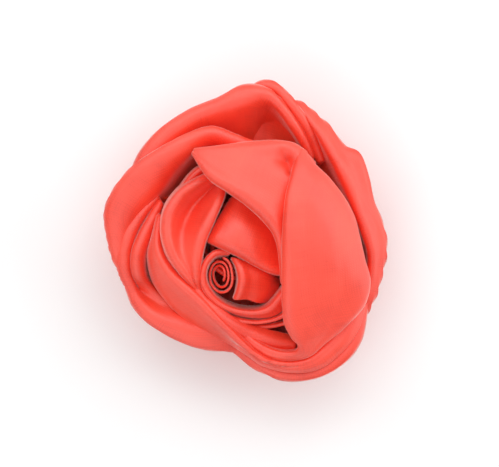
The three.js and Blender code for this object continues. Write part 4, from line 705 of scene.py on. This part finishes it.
def felt_disc():
    """A hand-cut disc: its edge wavers a little, its faces are softly uneven."""
    rings, steps, radius, low, high = 14, 120, 19.0, 9.0, 10.2
    profile = [(k / rings, 0.0) for k in range(1, rings + 1)] + [(1.012, 0.25), (1.018, 0.6), (1.012, 0.95)]
    profile += [(k / rings, 1.2) for k in range(rings, 0, -1)]
    verts, uv = [], []
    for share, rise in profile:
        for i in range(steps):
            a = 2 * math.pi * i / steps
            r = radius * share * (1 + 0.011 * noise.noise(Vector((3 * math.cos(a), 3 * math.sin(a), 2))))
            x, y = r * math.cos(a), r * math.sin(a)
            z = low + rise + 0.06 * noise.noise(Vector((x / 3, y / 3, rise))) * (1 - share**8)
            verts.append((x, y, min(max(z, low), high)))
            uv.append((x, y))
    faces = []
    for k in range(len(profile) - 1):
        for i in range(steps):
            j = (i + 1) % steps
            faces.append((k * steps + i, k * steps + j, (k + 1) * steps + j, (k + 1) * steps + i))
    faces.append(tuple(range(steps))[::-1])
    faces.append(tuple((len(profile) - 1) * steps + i for i in range(steps)))
    return mesh_from("soft_felt_disc", shifted(verts), faces, uv), radius


def strip_mesh(name, line, start, end, thick, wobble=0.05, seed=3, ribs=0.0):
    """A flat strip that follows line, a list of (across, height), from start to end along x.

    Its edges are rounded. Gives the mesh, and the strip's length along x and round the line, in mm.
    """
    path = spline(np.array(line, float), np.linspace(0, len(line) - 1, 90))
    s = lengths(path)
    tangent = np.gradient(path, axis=0)
    tangent /= np.linalg.norm(tangent, axis=1, keepdims=True)
    out = np.stack([-tangent[:, 1], tangent[:, 0]], axis=1)
    inset, fullness, middle = [0, 0.06, 0.16, 0.3], [0.0, 0.6, 0.9, 1.0], 34
    inner = list(np.linspace(start + 0.4, end - 0.4, middle))
    stations = [start + d for d in inset] + inner + [end - d for d in inset[::-1]]
    squeeze = fullness + [1.0] * middle + fullness[::-1]
    verts, uv = [], []
    for x, k in zip(stations, squeeze):
        for side in (1, -1):
            order = range(len(path)) if side == 1 else range(len(path) - 1, -1, -1)
            for j in order:
                near_edge = max(0.0, 1 - min(s[j], s[-1] - s[j]) / (thick / 2))
                round_off = math.sqrt(max(0.0, 1 - near_edge**2))
                h = thick / 2 * max(0.25, k) * max(0.3, round_off)
                rib = ribs * 0.5 * math.cos(2 * math.pi * x / RIB_PITCH)
                wave = wobble * noise.noise(Vector((x / 3, s[j] / 3, seed)))
                y, z = path[j] + out[j] * (side * (h + rib * k * round_off) + wave)
                verts.append((x, y, z))
                uv.append((x, s[j]))
    ring = 2 * len(path)
    faces = []
    for i in range(len(stations) - 1):
        for k in range(ring):
            a, b = i * ring + k, i * ring + (k + 1) % ring
            faces.append((a, b, b + ring, a + ring))
    faces.append(tuple(range(ring))[::-1])
    faces.append(tuple((len(stations) - 1) * ring + k for k in range(ring)))
    return mesh_from(name, shifted(verts), faces, uv), (end - start, s[-1])


def tube_mesh(name, line, radius, sides=14, twist=0.0, plies=0):
    """A round wire or, with plies, a twisted thread along a line of mm points."""
    line = [Vector(p) for p in line]
    verts, uv, faces = [], [], []
    side = None
    run = 0.0
    for i, p in enumerate(line):
        ahead = (line[min(i + 1, len(line) - 1)] - line[max(i - 1, 0)]).normalized()
        if side is None:
            side = ahead.orthogonal().normalized()
        side = (side - ahead * side.dot(ahead)).normalized()
        other = ahead.cross(side)
        run += (p - line[i - 1]).length if i else 0.0
        taper = 1.0 if 0 < i < len(line) - 1 else 0.55
        for k in range(sides):
            a = 2 * math.pi * k / sides
            r = radius * taper * (1 + (0.16 * math.cos(plies * (a + twist * run)) if plies else 0.0))
            verts.append(p + (side * math.cos(a) + other * math.sin(a)) * r)
            uv.append((run, a * radius))
    for i in range(len(line) - 1):
        for k in range(sides):
            a, b = i * sides + k, i * sides + (k + 1) % sides
            faces.append((a, b, b + sides, a + sides))
    faces.append(tuple(range(sides))[::-1])
    faces.append(tuple((len(line) - 1) * sides + k for k in range(sides)))
    return mesh_from(name, shifted(verts), faces, uv)


def spring_line():
    """The arm's leg, the turns round the pin, and the leg on the jaw's tail."""
    side, steps, start = 2.0, 150, math.radians(-50)
    upper_end, upper_start = Vector((LEG_END, side, 7.3)), Vector((LEG_START, side, 6.9))
    lower_start, lower_end = Vector((LEG_START, -side, 2.95)), Vector((LEG_END, -side, 2.4))
    line = [upper_end.lerp(upper_start, i / 8) for i in range(9)]
    for i in range(steps + 1):
        a = start + 2 * math.pi * COIL_TURNS * i / steps
        y = COIL_HALF - 2 * COIL_HALF * i / steps
        line.append(Vector((PIVOT_X + COIL_RADIUS * math.sin(a), y, PIVOT_Z + COIL_RADIUS * math.cos(a))))
    line += [lower_start.lerp(lower_end, i / 8) for i in range(9)]
    smooth = spline(np.array([tuple(p) for p in line]), np.linspace(0, len(line) - 1, 420))
    return [tuple(p) for p in smooth]


def stitch_lines(side):
    """Running stitches round the felt: each goes down into the felt at both ends."""
    out = []
    for k in range(STITCH_COUNT):
        a0 = math.radians(side * (STITCH_CLEAR + STITCH_STEP * k))
        a1 = a0 + math.radians(side * STITCH_SPAN)
        line = []
        for i in range(13):
            t = i / 12
            a = a0 + (a1 - a0) * t
            r = STITCH_RADIUS + 0.18 * math.sin(3.1 * k)
            line.append((r * math.cos(a), r * math.sin(a), 8.98 - 0.34 * math.sin(math.pi * t) ** 0.6))
        out.append(line)
    return out


def joined(name, meshes):
    """One mesh out of several."""
    verts, faces, uv = [], [], []
    for mesh in meshes:
        base = len(verts)
        verts += [tuple(v.co) for v in mesh.vertices]
        faces += [tuple(base + i for i in p.vertices) for p in mesh.polygons]
        by_vertex = {l.vertex_index: tuple(mesh.uv_layers[0].data[l.index].uv) for l in mesh.loops}
        uv += [by_vertex.get(i, (0, 0)) for i in range(len(mesh.vertices))]
        bpy.data.meshes.remove(mesh)
    return mesh_from(name, verts, faces, uv)


def felt_material():
    material, tree, shader = new_material("coral_felt")
    uv = tree.nodes.new("ShaderNodeTexCoord").outputs["UV"]
    fibre = noise_node(tree, mapping(tree, uv, (2.6, 2.6, 1)), 1.0, 8)
    matted = noise_node(tree, mapping(tree, uv, (0.5, 0.5, 1)), 1.0, 3)
    both = mixed(tree, fibre, 0.65, matted, 0.35)
    colour = ramp(tree, both, [
        (0.32, (0.46, 0.030, 0.018, 1)),
        (0.50, (0.66, 0.050, 0.030, 1)),
        (0.68, (0.82, 0.090, 0.060, 1)),
    ])
    link(tree, colour, shader.inputs["Base Color"])
    shader.inputs["Roughness"].default_value = 0.95
    shader.inputs["Specular IOR Level"].default_value = 0.2
    shader.inputs["Sheen Weight"].default_value = 0.9
    shader.inputs["Sheen Roughness"].default_value = 0.6
    shader.inputs["Sheen Tint"].default_value = (1, 0.55, 0.48, 1)
    link(tree, bump(tree, both, 0.0004, 0.9), shader.inputs["Normal"])
    return material


def ribbon_material():
    material, tree, shader = new_material("coral_grosgrain")
    uv = tree.nodes.new("ShaderNodeTexCoord").outputs["UV"]
    yarn = noise_node(tree, mapping(tree, uv, (6, 0.5, 1)), 1.0, 3)
    colour = ramp(tree, yarn, [(0.3, (0.68, 0.046, 0.026, 1)), (0.7, (0.86, 0.075, 0.045, 1))])
    link(tree, colour, shader.inputs["Base Color"])
    shader.inputs["Roughness"].default_value = 0.55
    shader.inputs["Sheen Weight"].default_value = 0.3
    link(tree, bump(tree, weave_height(tree, uv, 0.25), 0.00003, 0.4), shader.inputs["Normal"])
    return material


def thread_material():
    material, tree, shader = new_material("coral_thread")
    uv = tree.nodes.new("ShaderNodeTexCoord").outputs["UV"]
    yarn = noise_node(tree, mapping(tree, uv, (3, 9, 1)), 1.0, 3)
    colour = ramp(tree, yarn, [(0.3, (0.56, 0.035, 0.022, 1)), (0.7, (0.78, 0.075, 0.048, 1))])
    link(tree, colour, shader.inputs["Base Color"])
    shader.inputs["Roughness"].default_value = 0.5
    shader.inputs["Sheen Weight"].default_value = 0.3
    return material


def steel_material(name, colour, grain):
    """Plated spring steel: faint lengthways grain, small scuffs, colour that drifts a little."""
    material, tree, shader = new_material(name)
    place = tree.nodes.new("ShaderNodeTexCoord").outputs["Object"]
    drawn = noise_node(tree, mapping(tree, place, (90, 2600, 2600)), grain, 3)
    scuff = noise_node(tree, mapping(tree, place, (420, 420, 420)), 1.0, 5)
    tone = ramp(tree, scuff, [(0.30, tuple(0.86 * c for c in colour) + (1,)), (0.65, tuple(colour) + (1,))])
    link(tree, tone, shader.inputs["Base Color"])
    shader.inputs["Metallic"].default_value = 1.0
    rough = tree.nodes.new("ShaderNodeMapRange")
    link(tree, mixed(tree, drawn, 0.6, scuff, 0.4), rough.inputs["Value"])
    rough.inputs["To Min"].default_value = 0.20
    rough.inputs["To Max"].default_value = 0.42
    link(tree, rough.outputs[0], shader.inputs["Roughness"])
    link(tree, bump(tree, drawn, 0.00002, 0.3), shader.inputs["Normal"])
    return material


def soft_piece(obj, node):
    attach(obj, STATIC)
    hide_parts(node)
    return obj


def make_backing():
    felt, ribbon, thread = felt_material(), ribbon_material(), thread_material()
    mesh, radius = felt_disc()
    disc = soft_piece(add("soft_felt_disc", mesh, felt), "felt_disc")
    side = 2 * radius * MM
    mesh, (width, length) = strip_mesh("soft_felt_strap", STRAP_LINE, -4.5, 8.5, 0.95)
    strap = soft_piece(add("soft_felt_strap", mesh, felt), "felt_strap")
    mesh, (width, length) = strip_mesh("soft_ribbon_lining", RIBBON_LINE, 9.2, 23.4, 0.34, 0.01, 5, ribs=0.12)
    lining = soft_piece(add("soft_ribbon_lining", mesh, ribbon), "ribbon_lining")
    for node, side in (("stitching_back", 1), ("stitching_front", -1)):
        parts = [tube_mesh("stitch", line, 0.24, 10, twist=5.0, plies=3) for line in stitch_lines(side)]
        soft_piece(add("thread_" + node, joined("thread_" + node, parts), thread), node)


def make_metal():
    plated = steel_material("plated_steel", (0.72, 0.71, 0.69), 1.0)
    wire = steel_material("spring_wire", (0.58, 0.58, 0.59), 1.6)
    for name in ("clip_arm", "clip_jaw", "hinge_pin"):
        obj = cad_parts[name]
        obj.data.materials.clear()
        obj.data.materials.append(plated)
    spring = add("wire_torsion_spring", tube_mesh("wire_torsion_spring", spring_line(), WIRE, 12), wire)
    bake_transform(spring)
    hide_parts("torsion_spring")


make_backing()
make_metal()


# ---- stage ----

SOFTBOX = 0.60  # metres across
VIEW_WIDTH, LENS = 0.12475, 200  # metres, mm


def floor():
    bpy.ops.mesh.primitive_plane_add(size=4, location=(0, 0, 0))
    plane = bpy.context.object
    plane.name = "floor"
    material, tree, shader = new_material("pale_floor")
    shader.inputs["Base Color"].default_value = (0.93, 0.93, 0.93, 1)
    shader.inputs["Roughness"].default_value = 0.8
    plane.data.materials.append(material)


def softbox(name, place, power, target=(0, 0, 0.02)):
    light = bpy.data.lights.new(name, "AREA")
    light.size, light.energy = SOFTBOX, power
    obj = bpy.data.objects.new(name, light)
    obj.location = place
    obj.rotation_mode = "QUATERNION"
    obj.rotation_quaternion = (Vector(target) - Vector(place)).to_track_quat("-Z", "Y")
    bpy.context.scene.collection.objects.link(obj)


def studio():
    softbox("overhead", (0, 0.1, 0.62), 0.8)
    softbox("top", (0, 0.46, 0.406), 0.7)
    softbox("upper_left", (-0.325, 0.325, 0.406), 1.4)
    softbox("upper_right", (0.325, 0.325, 0.406), 1.5)
    softbox("right_low", (0.58, 0, 0.175), 1.7)
    softbox("lower_left", (-0.325, -0.325, 0.406), 1.0)
    softbox("front", (0, -0.46, 0.406), 0.8)
    world = bpy.data.worlds.new("studio")
    world.use_nodes = True
    background = world.node_tree.nodes["Background"]
    background.inputs["Color"].default_value = (1, 1, 1, 1)
    background.inputs["Strength"].default_value = 0.20
    bpy.context.scene.world = world
    bpy.context.scene.view_settings.view_transform = "Standard"


def camera():
    data = bpy.data.cameras.new("camera")
    data.lens = LENS
    obj = bpy.data.objects.new("camera", data)
    middle = Vector((0.001375, -0.000625, 0.0225)) + CLIP_SHIFT * MM
    obj.location = middle + Vector((0, 0, VIEW_WIDTH * LENS / data.sensor_width))
    bpy.context.scene.collection.objects.link(obj)
    bpy.context.scene.camera = obj


floor()
studio()
camera()
